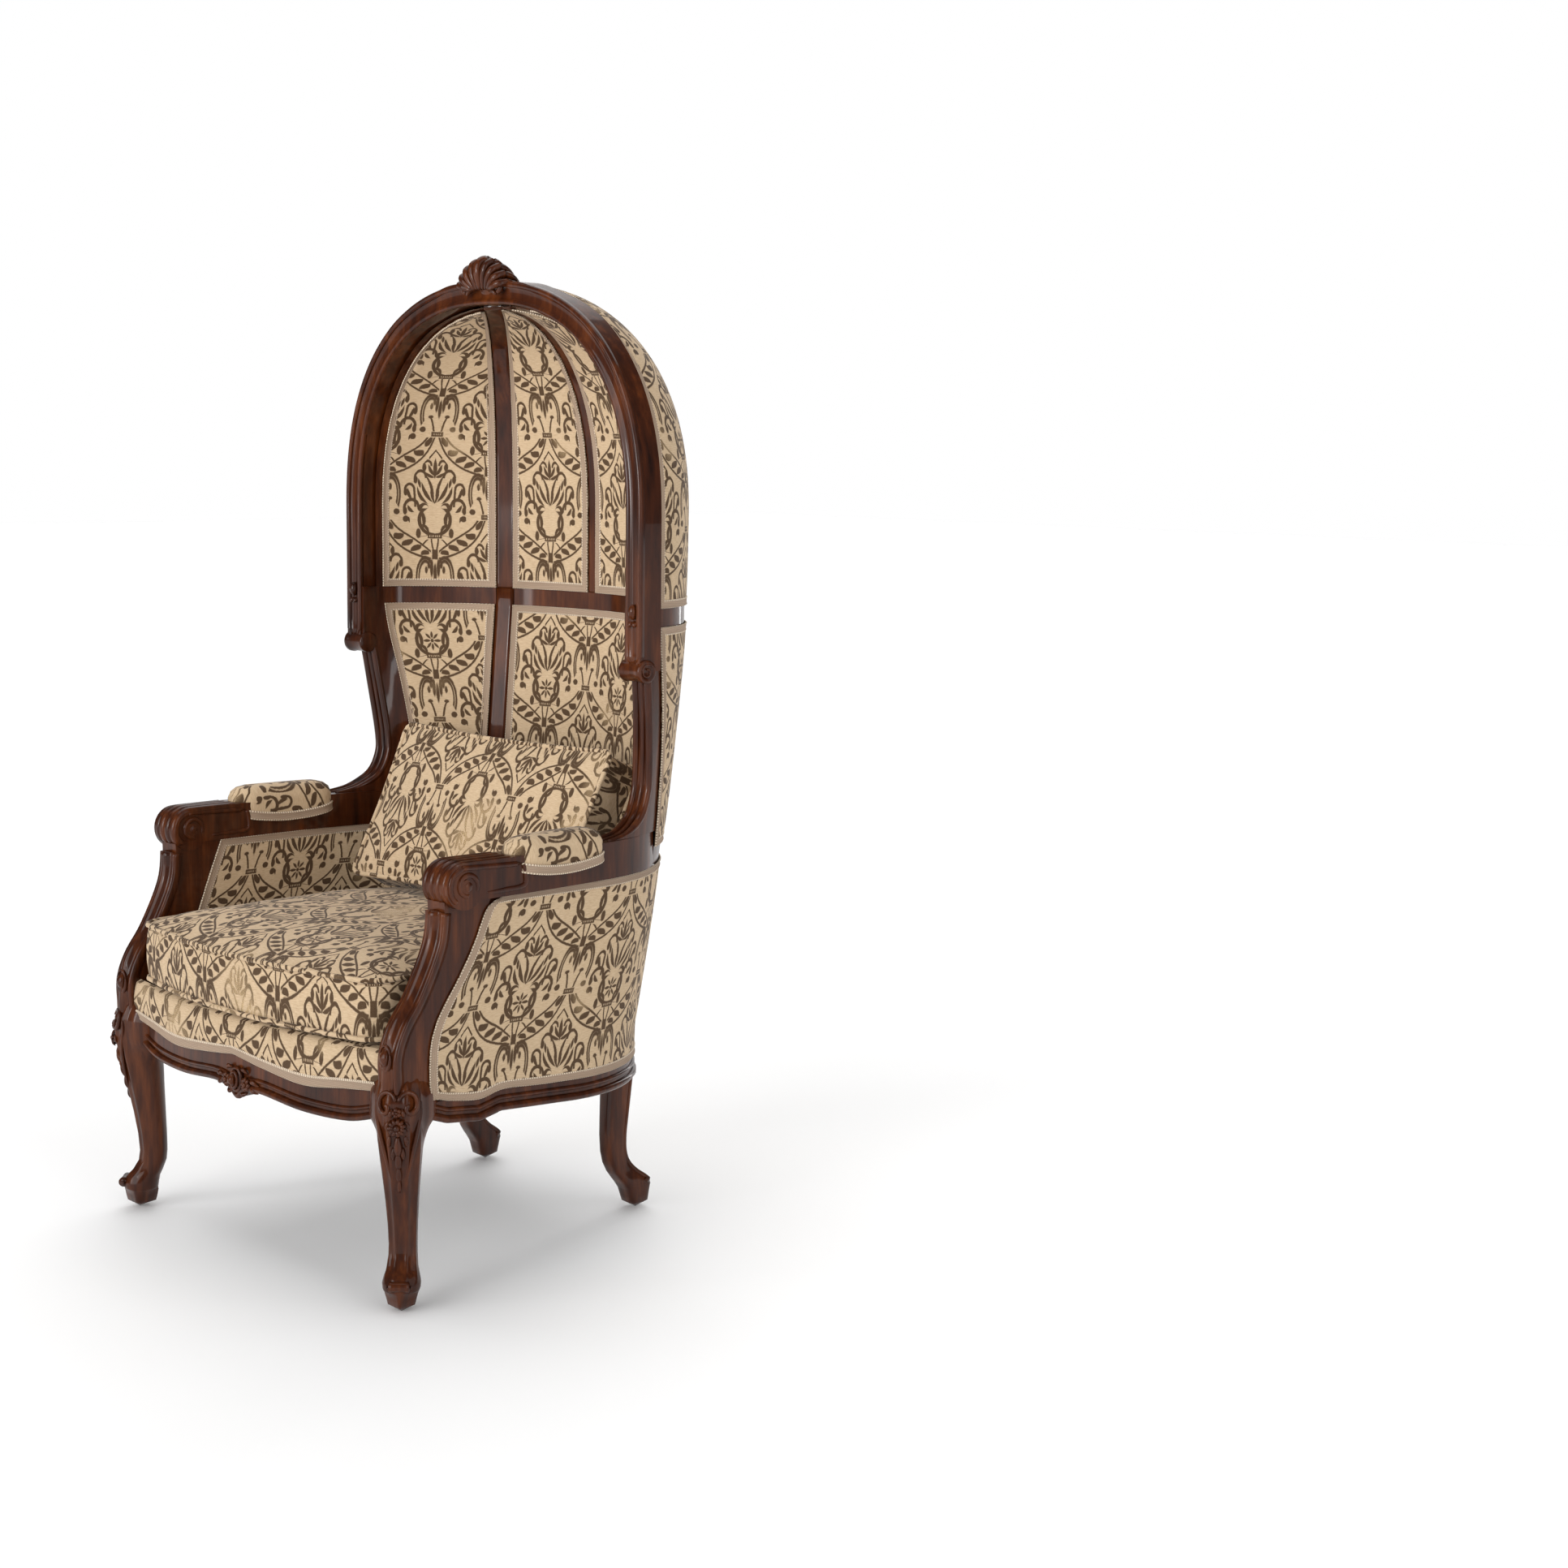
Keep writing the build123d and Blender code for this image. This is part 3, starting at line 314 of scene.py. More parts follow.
low_x = m("PINGPONG", m("MULTIPLY_ADD", row, MOTIF_WIDE, across), MOTIF_WIDE)
edge = m("MINIMUM", m("MAXIMUM", m("MULTIPLY_ADD", low_y, 66 / 70, 44 + 92 * 66 / 70), 44), MOTIF_WIDE)
lower = m("LESS_THAN", low_x, edge)
upper = m("SUBTRACT", 1, lower)
x = m("ADD", m("MULTIPLY", lower, low_x), m("MULTIPLY", upper, m("SUBTRACT", MOTIF_WIDE, low_x)))
y = m("MULTIPLY_ADD", upper, MOTIF_HIGH, low_y)
odd_row = m("PINGPONG", m("ADD", row, upper), 1)


def ink(distance):
    """1 inside a shape and 0 outside, softened over a thread's width."""
    return m("MULTIPLY_ADD", distance, -0.8, 0.5, clamp=True)


def beyond(value, half):
    """How far a value is from zero on either side, less a half width."""
    return m("SUBTRACT", m("ABSOLUTE", value), half)


def oval(at_x, at_y, wide, high):
    """The distance outside an oval, below zero inside it."""
    reach = m("SQRT", m("ADD", m("POWER", m("ABSOLUTE", m("MULTIPLY_ADD", x, 1 / wide, -at_x / wide)), 2),
                        m("POWER", m("ABSOLUTE", m("MULTIPLY_ADD", y, 1 / high, -at_y / high)), 2)))
    return m("MULTIPLY_ADD", reach, min(wide, high), -min(wide, high))


def ring(at_x, at_y, wide, high, thick):
    """An oval line."""
    return beyond(oval(at_x, at_y, wide, high), thick)


def bar(at_x, at_y, wide, high):
    """A filled rectangle."""
    return m("MAXIMUM", beyond(m("SUBTRACT", x, at_x), wide), beyond(m("SUBTRACT", y, at_y), high))


def stalk(from_x, from_y, to_x, to_y, power, thick):
    """A curved line that leaves one point and bends towards another."""
    share = m("MULTIPLY_ADD", y, 1 / (to_y - from_y), -from_y / (to_y - from_y), clamp=True)
    line = m("MULTIPLY_ADD", m("POWER", share, power), to_x - from_x, from_x)
    middle, half = (from_y + to_y) / 2, abs(to_y - from_y) / 2
    return m("MAXIMUM", beyond(m("SUBTRACT", x, line), thick), beyond(m("SUBTRACT", y, middle), half))


def hook(at_x, at_y, size, thick):
    """The top half of a ring with a ball at its outer end."""
    arc = m("MAXIMUM", ring(at_x, at_y, size, size * 1.1, thick), m("SUBTRACT", at_y, y))
    return m("MINIMUM", arc, oval(at_x + size - 1.5, at_y - 3.5, 3.6, 6))


def petal(from_x, from_y, to_x, to_y, wide, bend=0):
    """A pointed leaf from one point to another, bowed to one side."""
    run_x, run_y = to_x - from_x, to_y - from_y
    squared = run_x ** 2 + run_y ** 2
    long = math.sqrt(squared)
    start_share = -(from_x * run_x + from_y * run_y) / squared
    start_off = (from_y * run_x - from_x * run_y) / long
    share = m("MULTIPLY_ADD", x, run_x / squared, m("MULTIPLY_ADD", y, run_y / squared, start_share))
    off = m("MULTIPLY_ADD", x, run_y / long, m("MULTIPLY_ADD", y, -run_x / long, start_off))
    bell = m("MULTIPLY", m("MULTIPLY", share, 4), m("SUBTRACT", 1, share))
    return beyond(m("MULTIPLY_ADD", bell, -bend, off), m("MULTIPLY", bell, wide))


def union(shapes):
    """Several shapes as one."""
    return functools.reduce(lambda total, shape: m("MINIMUM", total, shape), shapes)


# The leaf band along the lattice
band_share = m("DIVIDE", x, MOTIF_WIDE)
band_line = m("MULTIPLY_ADD", m("POWER", band_share, 7), 45, m("MULTIPLY_ADD", band_share, 50, -67))
slope = m("MULTIPLY_ADD", m("POWER", band_share, 6), 2.86, 0.455)
off_band = m("DIVIDE", m("SUBTRACT", y, band_line), m("SQRT", m("MULTIPLY_ADD", slope, slope, 1)))
band_wide = m("MULTIPLY_ADD", m("SINE", m("MULTIPLY", band_share, math.pi)), 9, 3.6)
band_edge = beyond(beyond(off_band, band_wide), 1.15)
leaf_share = m("DIVIDE", off_band, m("SUBTRACT", band_wide, 2.2))
leaf_phase = m("PINGPONG", m("ADD", m("DIVIDE", x, 19), m("DIVIDE", off_band, 17)), 0.5)
leaf = m("SUBTRACT", leaf_phase, m("MULTIPLY_ADD", m("MULTIPLY", leaf_share, leaf_share), -0.3, 0.3))
leaf = m("MAXIMUM", m("MULTIPLY", leaf, 15), beyond(off_band, m("SUBTRACT", band_wide, 2.6)))
band = m("MAXIMUM", m("MINIMUM", band_edge, leaf), m("SUBTRACT", 9, x))
# The urn and its foot
bowl = [
    m("MAXIMUM", ring(0, 0, 32, 27, 2.4), m("SUBTRACT", y, 20)), petal(26, -18, 33, 20, 3.2, -7),
    petal(12, -25, 29, -8, 2.4, -4), m("MAXIMUM", oval(23, 22, 9, 8), m("SUBTRACT", 0, oval(19, 19, 8, 8))),
    bar(0, -29, 14, 3.4), oval(34, -24, 4.4, 7.5), stalk(15, -28, 33, -31, 1, 1.6),
    stalk(7, -34, 3, -56, 1.6, 0.9), stalk(15, -36, 26, -46, 0.7, 1.4), bar(0, -62, 5.2, 8),
]
# The palmette over it
plume = [petal(*shape) for shape in (
    (0, 76, 0, 110, 3.4), (1, 80, 14, 99, 2.6, 1.5), (2, 77, 20, 85, 2.2, 1.5), (3, 34, 18.5, 80, 2.2, -4),
    (6, 33, 27, 66, 3, 3), (16, 30, 36, 58, 2.8, 4), (30, 58, 34, 74, 2.2), (47, 36, 56, 56, 2.6, 2),
    (27, 14, 33, 28, 2.6, 2), (44, 14, 56, 26, 2.6, 2), (52, -4, 62, 4, 2.4, -3), (0, 30, 6, 62, 2.2, 3),
)]
plume += [hook(*shape) for shape in (
    (16, 98, 8, 1.5), (30, 76, 11.5, 1.8), (52, 54, 9.5, 1.6), (48, 20, 15, 2.2),
)]
plume += [stalk(40, 24, 42.5, 54, 1, 1.6), oval(60, 2, 5.5, 5)]
# The ribbon under it
ribbon_end = m("SUBTRACT", m("MULTIPLY_ADD", x, -1.6, 32), m("ADD", y, 103))
loops = [m("MAXIMUM", ring(20, -103, *shape), ribbon_end) for shape in ((18, 35, 1.2), (13, 29, 0.9))]
loops += [oval(*shape) for shape in (
    (31, -135, 5.5, 4.5), (0, -96, 2.8, 14), (7, -86, 2.8, 13), (13, -80, 2.2, 6), (18, -90, 2.4, 5),
    (17, -111, 4, 2.4),
)]
loops += [stalk(19, -112, 8, -138, 0.5, 1.3), bar(0, -144, 11.5, 3.6)]
chevron = beyond(m("ADD", m("MULTIPLY", x, 1.15), m("SUBTRACT", y, 128)), 3)
chevron = m("MAXIMUM", chevron, m("SUBTRACT", x, 13))
figure = ink(m("SUBTRACT", union([band, *bowl, *plume, *loops, chevron]), 0.75))
fillings = ink(union([oval(0, -1, 3.2, 3.2)] + [petal(*shape) for shape in (
    (0, 3, 0, 16, 2.6), (0, -5, 0, -19, 2.6), (3, -1, 19, -1, 2.6), (2, 2, 13, 12, 2.4),
    (2, -4, 13, -15, 2.4),
)]))
ribs = m("GREATER_THAN", m("PINGPONG", x, 2), 1.3)
on_bars = ink(union([bar(0, -29, 11.5, 1.6), bar(0, -144, 9.5, 1.4)]))
figure = m("MAXIMUM", figure, m("MULTIPLY", fillings, odd_row))
figure = m("MULTIPLY", figure, m("SUBTRACT", 1, m("MULTIPLY", on_bars, ribs)))
feed(damask_group, damask_out, {"Figure": figure})


def mixed(tree, factor, first, second):
    """A mix of two colours."""
    return add_node(tree, "Mix", {"Factor": factor, 6: first, 7: second}, data_type="RGBA").outputs[2]


def damask_material(name, ground_dark, ground_light, thread_dark, painted_sheen_gold, painted_sheen_share):
    """The damask on the piece's own UV map, whose units are metres of cloth; patches of its figure are
    painted a lighter gold as sheen.
    """
    material, tree, shader = new_material(name)
    where = add_node(tree, "UVMap", uv_map="cloth").outputs["UV"]
    wobble = add_node(tree, "TexNoise", {"Scale": 240, "Vector": where}).outputs["Color"]
    shift = {0: wobble, 1: (THREAD_WOBBLE, THREAD_WOBBLE, 0), 2: where}
    shift = add_node(tree, "VectorMath", shift, operation="MULTIPLY_ADD")
    pattern = add_node(tree, "Group", {"Place": shift.outputs[0]}, node_tree=damask_group).outputs["Figure"]
    m = wiring(tree)
    ribs = noise(tree, where, 90, 3, (1, 9, 1), 0.7)
    patches = noise(tree, where, 5, 2)
    threads = noise(tree, where, 700, 2, (1, 3, 1))
    ground = ramp(tree, ribs, ((0.3, ground_dark), (0.7, ground_light)))
    thread = ramp(tree, threads, ((0.3, thread_dark), (0.75, tuple(1.7 * part for part in thread_dark))))
    # Painted sheen: in large random patches the figure's threads are painted a lighter gold as a highlight,
    # and are made glossier there.
    painted_sheen_patches = m("MULTIPLY_ADD", patches, 9, -9 * (1 - painted_sheen_share), clamp=True)
    glint = m("MULTIPLY", m("GREATER_THAN", threads, 0.47), painted_sheen_patches, clamp=True)
    worn = m("MULTIPLY", pattern, m("MULTIPLY_ADD", threads, 0.4, 0.74, clamp=True))
    feed(tree, shader, {
        "Base Color": mixed(tree, worn, ground, mixed(tree, glint, thread, (*painted_sheen_gold, 1))),
        "Roughness": m("MULTIPLY_ADD", glint, -0.3, 0.85),
        "Normal": bumped(tree, m("MULTIPLY_ADD", pattern, 0.7, m("MULTIPLY", ribs, 0.6)), 0.0011, 0.6),
        "Sheen Weight": 0.12,
        "Sheen Roughness": 0.4,
        "Specular IOR Level": 0.2,
    })
    return material


# The last colour is the painted sheen's gold, and the last number is the share of the figure where that
# painted sheen shows.
damask = damask_material("tan_damask", (0.42, 0.295, 0.175), (0.60, 0.455, 0.300), (0.038, 0.0175, 0.0063),
                         (0.62, 0.44, 0.235), 0.42)

# Gimp: a flat woven braid with a row of small thread loops along both edges.
# It is glued and pinned over the raw edges of every panel.
GIMP_WIDE = 0.016
GIMP_LIFT = 0.0012
GIMP_LAP = 0.002
GIMP_STEP = 0.008
CLOTH_LIFT = 0.0004
LOOP_PITCH = 0.0046
gimp, gimp_tree, gimp_shader = new_material("rosy_gimp_braid")
m = wiring(gimp_tree)
gimp_place = add_node(gimp_tree, "UVMap", uv_map="cloth").outputs["UV"]
gimp_parts = add_node(gimp_tree, "SeparateXYZ", {0: gimp_place}).outputs
braid_wave = m("SINE", m("MULTIPLY", gimp_parts[0], 2 * math.pi / LOOP_PITCH))
braid_cross = m("SINE", m("MULTIPLY_ADD", gimp_parts[1], 2600, m("MULTIPLY", gimp_parts[0], 1500)))
from_middle = m("ABSOLUTE", m("MULTIPLY_ADD", gimp_parts[1], 2 / GIMP_WIDE, -1))
thread_loops = m("MULTIPLY", m("GREATER_THAN", from_middle, 0.66), m("MULTIPLY_ADD", braid_wave, 0.5, 0.5))
plait = m("MULTIPLY_ADD", m("MULTIPLY", braid_wave, braid_cross), 0.3, 0.5)
tone = m("ADD", m("MULTIPLY", thread_loops, 0.55), m("MULTIPLY", plait, 0.45))
gimp_tones = ((0.05, (0.22, 0.15, 0.10)), (0.32, (0.42, 0.305, 0.215)), (0.7, (0.86, 0.73, 0.56)))
feed(gimp_tree, gimp_shader, {
    "Base Color": ramp(gimp_tree, tone, gimp_tones),
    "Roughness": 0.8,
    "Normal": bumped(gimp_tree, m("ADD", thread_loops, plait), 0.0012),
})
# Across the braid: shares of its width and how far each stands up
GIMP_SECTION = (
    (0, 0.0002), (0.04, 0.0022), (0.17, 0.0026), (0.27, 0.0017), (0.73, 0.0017), (0.83, 0.0026),
    (0.96, 0.0022), (1, 0.0002),
)


def surface_normal(surface, s, t, step=0.002):
    """The outward direction of a surface at a share across and a share up."""
    low_s, high_s = max(s - step, 0), min(s + step, 1)
    low_t, high_t = max(t - step, 0), min(t + step, 1)
    return (surface(high_s, t) - surface(low_s, t)).cross(surface(s, high_t) - surface(s, low_t)).normalized()


def faces_round(vertices):
    """The faces that meet at some vertices."""
    return list({face for vertex in vertices for face in vertex.link_faces})


def unwrap(faces, uv_layer, place):
    """Give each corner of the faces its place on the cloth, in metres."""
    for face in faces:
        for loop in face.loops:
            loop[uv_layer].uv = place(loop.vert)


def cloth_patch(bm, surface, columns, rows, swell, out, uv_layer, start):
    """The fabric over one panel: a grid moved onto the surface, swollen between its edges."""
    made = bmesh.ops.create_grid(bm, x_segments=columns, y_segments=rows, size=0.5)["verts"]
    indices = {}
    for vertex in made:
        s, t = vertex.co.x + 0.5, vertex.co.y + 0.5
        rise = swell * (16 * s * (1 - s) * t * (1 - t)) ** 0.4 if 0 < s < 1 and 0 < t < 1 else 0
        indices[vertex] = round(s * columns), round(t * rows)
        vertex.co = surface(s, t) + surface_normal(surface, s, t) * (out * (rise + CLOTH_LIFT))
    flat = {}
    for t_index in range(rows + 1):
        t = t_index / rows
        centre = surface(0.5, t)
        high = flat_high(surface, t)
        for s_index in range(columns + 1):
            s = s_index / columns
            side = 1 if s > 0.5 else -1
            beside = side * (surface(s, t) - centre).length
            flat[s_index, t_index] = (out * beside + start[0], high + start[1])
    unwrap(faces_round(made), uv_layer, lambda vertex: flat[indices[vertex]])
    return made


def flat_high(surface, t, steps=24):
    """How far up the cloth a share up the panel is, along its middle."""
    points = [surface(0.5, t * index / steps) for index in range(steps + 1)]
    return sum((after - before).length for before, after in zip(points, points[1:]))


def gimp_border(bm, surface, out, uv_layer, edges):
    """Gimp along the panel's edges, mitred at its corners."""
    wide = (surface(1, 0.5) - surface(0, 0.5)).length
    high = flat_high(surface, 1)

    def inside(s, t, depth):
        """A place on the panel's edge, moved in by a depth."""
        here_wide = max((surface(1, t) - surface(0, t)).length, 0.004)
        in_s = min(depth / here_wide, 0.49)
        in_t = min(depth / high, 0.49)
        return in_s + s * (1 - 2 * in_s), in_t + t * (1 - 2 * in_t)

    for edge_name in edges.split():
        length = high if edge_name in ("left", "right") else wide
        count = max(int(length / GIMP_STEP), 6)
        last = len(GIMP_SECTION) - 1
        made = bmesh.ops.create_grid(bm, x_segments=count, y_segments=last, size=0.5)["verts"]
        places = {}
        for vertex in made:
            share = vertex.co.x + 0.5
            across_share, rise = GIMP_SECTION[round((vertex.co.y + 0.5) * last)]
            depth = across_share * GIMP_WIDE
            edge = {"bottom": (share, 0), "top": (share, 1), "left": (0, share), "right": (1, share)}
            s, t = inside(*edge[edge_name], max(depth - GIMP_LAP, 0))
            places[vertex] = (share * length, depth)
            vertex.co = surface(s, t) + surface_normal(surface, s, t) * (out * (rise + GIMP_LIFT))
        faces = faces_round(made)
        unwrap(faces, uv_layer, places.get)
        for face in faces:
            face.material_index = 1
        if (edge_name in ("top", "left")) == (out > 0):
            bmesh.ops.reverse_faces(bm, faces=faces)


def cloth_bmesh():
    """An empty bmesh and its UV layer for the damask."""
    bm = bmesh.new()
    return bm, bm.loops.layers.uv.new("cloth")


def upholstered(bm, name, materials, body, replaced):
    """A finished soft piece: the body that it rides on, and the solids that it stands for."""
    piece = finished(bm, name, materials)
    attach(piece, body)
    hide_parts(*replaced)


def panel(name, surface, out, replaced, swell=0.006, edges="bottom right top left", start=(0, 0),
          spacing=0.014):
    """An upholstered panel: its fabric, the gimp round it, and the solids that it stands for."""
    bm, uv_layer = cloth_bmesh()
    columns = max(int((surface(1, 0.5) - surface(0, 0.5)).length / spacing), 8)
    rows = max(int(flat_high(surface, 1) / spacing), 8)
    made = cloth_patch(bm, surface, columns, rows, swell, out, uv_layer, start)
    if out < 0:
        bmesh.ops.reverse_faces(bm, faces=faces_round(made))
    gimp_border(bm, surface, out, uv_layer, edges)
    upholstered(bm, name, [damask, gimp], "chair_frame", replaced)


# Hood panels: fabric over hair on canvas, tacked between the arch, the ribs and the middle rail.
# Each side has one panel beside the arch and one at the back, inside and out, on the dome's own curve.
HOOD_AXIS_Y = 0.130
HOOD_HALF_WIDTH = 0.389
HOOD_DEPTH = 0.265
HOOD_SPRING = 1.186
HOOD_RISE = 0.386
CURVE_POWER = 2.36
RAIL_TOP = 1.050
ARCH_BACK_Y = 0.162
RIB_ANGLE = math.atan2(0.220, 0.226)
CORNER_RIB_HALF = 0.016
CENTRE_RIB_HALF = 0.011
COVER_INSET = -0.001
LINING_INSET = 0.037
RIB_DEPTH = 0.0375


def round_shares(tilt):
    """How far a squared-off quarter circle reaches across and up at a tilt, as shares of its radii."""
    return math.cos(tilt) ** (2 / CURVE_POWER), math.sin(tilt) ** (2 / CURVE_POWER)


def dome_line(inset, narrowest):
    """The dome's profile from the middle rail to where it has drawn in: (share of the plan, height)."""
    points = [(1, RAIL_TOP + (HOOD_SPRING - RAIL_TOP) * step / 8) for step in range(8)]
    last = math.acos(narrowest ** (CURVE_POWER / 2))
    for step in range(61):
        across, up = round_shares(last * step / 60)
        points.append((across, HOOD_SPRING + (HOOD_RISE - inset) * up))
    lengths = [0]
    for (c0, z0), (c1, z1) in zip(points, points[1:]):
        lengths.append(lengths[-1] + math.hypot((c1 - c0) * HOOD_HALF_WIDTH * 0.85, z1 - z0))
    return points, lengths


def along_line(points, lengths, share):
    """The point at a share of a measured line's length."""
    target = share * lengths[-1]
    for index in range(1, len(points)):
        if lengths[index] >= target or index == len(points) - 1:
            part = (target - lengths[index - 1]) / max(lengths[index] - lengths[index - 1], 1e-9)
            return tuple(a + (b - a) * part for a, b in zip(points[index - 1], points[index]))


def hood_plan(inset, angle):
    """The plan's half width and depth at an inset, and how far out and at what turn it meets an angle."""
    half_width, depth = HOOD_HALF_WIDTH - inset, HOOD_DEPTH - inset
    across, back = half_width * math.sin(angle), depth * math.cos(angle)
    return half_width, depth, math.hypot(across, back), math.atan2(across, back)


def hood_point(side, half_width, depth, share, turn, height):
    """A point of the dome, where its plan has shrunk to a share."""
    return Vector((side * half_width * share * math.cos(turn), HOOD_AXIS_Y + depth * share * math.sin(turn),
                   height))


def hood_surface(side, place, inset):
    """The hood's surface between two of its timbers, as a point for each share across and up."""
    points, lengths = dome_line(inset, 0.235 if place == "side" else 0.165)
    half_width, depth, reach, lean = hood_plan(inset, RIB_ANGLE)

    @functools.lru_cache(maxsize=None)
    def span(t):
        """The plan's share, the height, and the turns where the panel starts and ends."""
        share, height = along_line(points, lengths, t)
        if place == "side":
            first = math.asin(min((ARCH_BACK_Y - HOOD_AXIS_Y) / (depth * share), 1))
            last = lean + math.asin(max(-CORNER_RIB_HALF / (share * reach), -1))
        else:
            first = lean + math.asin(min(CORNER_RIB_HALF / (share * reach), 1))
            last = math.acos(min(CENTRE_RIB_HALF / (half_width * share), 1))
        return share, height, first, last

    @functools.lru_cache(maxsize=None)
    def surface(s, t):
        share, height, first, last = span(t)
        turn = first + (last - first) * (s if side > 0 else 1 - s)
        return hood_point(side, half_width, depth, share, turn, height)
    return surface


for name, side in SIDES:
    for place in ("side", "back"):
        panel(f"hood_{place}_fabric_{name}", hood_surface(side, place, COVER_INSET), 1,
              [f"hood_{place}_cover_{name}"], start=(0.11 if place == "side" else 0, 0.03))
        replaced = [f"hood_{place}_lining_{name}"] + ([f"hood_{place}_cores"] if side > 0 else [])
        panel(f"hood_{place}_inside_{name}", hood_surface(side, place, LINING_INSET), -1, replaced,
              start=(0, 0.03))

# Hood ribs: two corner ribs and one centre rib, of the same mahogany as the arch, sawn to the dome's curve.
# They run from the middle rail to the crown, flush with the gimp on either side.
def rings_mesh(bm, rings, close_first=True, close_last=True, joined=False):
    """A skin through rings of points: a circle extruded ring by ring."""
    count = len(rings[0])
    loop = bmesh.ops.create_circle(bm, cap_ends=False, segments=count, radius=1)["verts"]
    loop.sort(key=lambda vertex: math.atan2(vertex.co.y, vertex.co.x))
    loops = [loop]
    for ring_points in rings[1:]:
        edges = [bm.edges.get((loop[k], loop[(k + 1) % count])) for k in range(count)]
        made = bmesh.ops.extrude_edge_only(bm, edges=edges)["geom"]
        fresh = {item for item in made if isinstance(item, bmesh.types.BMVert)}
        loop = [next(e.other_vert(v) for e in v.link_edges if e.other_vert(v) in fresh) for v in loop]
        loops.append(loop)
    for loop, places in zip(loops, rings):
        for vertex, place in zip(loop, places):
            vertex.co = place
    if joined:
        ends = [bm.edges.get((loop[k], loop[(k + 1) % count]))
                for loop in (loops[0], loops[-1]) for k in range(count)]
        bmesh.ops.bridge_loops(bm, edges=ends)
    for closing, loop in ((close_first and not joined, loops[0]), (close_last and not joined, loops[-1])):
        if closing:
            bmesh.ops.pointmerge(bm, verts=loop, merge_co=sum((v.co for v in loop), Vector()) / count)
    return loops


def wooden(name, bm, replaced=(), eased=0):
    """A finished lacquered piece of the chair's frame, its edges eased by a width."""
    bmesh.ops.recalc_face_normals(bm, faces=bm.faces)
    piece = finished(bm, name, [lacquer])
    if eased:
        edges = piece.modifiers.new("eased_edges", "BEVEL")
        edges.width = eased
        edges.segments = 2
    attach(piece, "chair_frame")
    if replaced:
        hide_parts(*replaced)


# Each rib's side, its angle behind the chair's side, its half width, the plan's share at its top, its solid
for name, side, angle, half, narrowest, solid in (
    ("left", -1, RIB_ANGLE, CORNER_RIB_HALF, 0.17, "hood_corner_rib_left"),
    ("right", 1, RIB_ANGLE, CORNER_RIB_HALF, 0.17, "hood_corner_rib_right"),
    ("centre", 1, math.pi / 2, CENTRE_RIB_HALF, 0.15, "hood_centre_rib"),
):
    offsets = [half * (2 * j / 4 - 1) for j in range(5)]
    outer, inner = ((*hood_plan(inset, angle), *dome_line(inset, narrowest)) for inset in (0, RIB_DEPTH))
    rings = []
    for k in range(61):
        ring_points = []
        for (half_width, depth, reach, lean, points, lengths), row in (
            (outer, offsets),
            (inner, offsets[::-1]),
        ):
            share, height = along_line(points, lengths, k / 60)
            turns = [lean + math.asin(offset / (share * reach)) for offset in row]
            ring_points += [hood_point(side, half_width, depth, share, turn, height) for turn in turns]
        rings.append(ring_points)
    bm = bmesh.new()
    rings_mesh(bm, rings[:1] + rings + rings[-1:])
    wooden(f"hood_rib_{name}", bm, [solid], eased=0.0022)

# Body panels: fabric over stuffing between the seat rail, the arm rails and the middle rail.
# The back panel runs the whole height between the corner posts; arm and wing panels stand beside it.
# Each level of the body's plan is a height, a half width, the y of its middle and the depth behind that.
BODY_LEVELS = (
    (0.236, 0.376, -0.008, 0.322), (0.350, 0.376, -0.008, 0.322), (0.640, 0.388, 0.034, 0.336),
    (1.020, 0.389, 0.130, 0.265), (1.060, 0.389, 0.130, 0.265),
)
POST_LEVELS = (
    (0.236, 0.197, 0.268), (0.350, 0.197, 0.268), (0.640, 0.218, 0.312), (1.050, 0.226, 0.350),
    (1.060, 0.226, 0.350),
)
POST_HALF = 0.017
FRONT_HALF_WIDTH = 0.388
FRONT_Y = -0.368


def at_level(levels, height):
    """The values at a height, between the two levels round it."""
    for low, high in zip(levels, levels[1:]):
        if height <= high[0] or high is levels[-1]:
            part = (height - low[0]) / (high[0] - low[0])
            return [a + (b - a) * part for a, b in zip(low[1:], high[1:])]


def body_point(side, turn, height, inset):
    """A point of the body's wall.

    The turn is an angle behind the widest place. Ahead of that it goes from 0 to -1 at the front.
    """
    half_width, middle, depth = at_level(BODY_LEVELS, height)
    half_width, depth = half_width - inset, depth - inset
    if turn >= 0:
        return Vector((side * half_width * math.cos(turn), middle + depth * math.sin(turn), height))
    front = FRONT_HALF_WIDTH - inset
    return Vector((side * (half_width + (front - half_width) * -turn), middle + (FRONT_Y - middle) * -turn,
                   height))


def turn_at_post(height, inset, edge):
    """Where the wall meets the corner post: edge is -1 at its side face and 1 at its back face."""
    post_x, post_y = at_level(POST_LEVELS, height)
    low, high = 0.0, math.pi / 2
    for _ in range(28):
        middle = (low + high) / 2
        point = body_point(1, middle, height, inset)
        off = -(point.x - post_x) * math.sin(RIB_ANGLE) + (point.y - post_y) * math.cos(RIB_ANGLE)
        low, high = (middle, high) if off < edge * POST_HALF else (low, middle)
    return (low + high) / 2


def turn_at_y(height, inset, y):
    """Where the wall reaches a y."""
    half_width, middle, depth = at_level(BODY_LEVELS, height)
    if y < middle:
        return -(middle - y) / (middle - FRONT_Y)
    return math.asin(min((y - middle) / (depth - inset), 1))


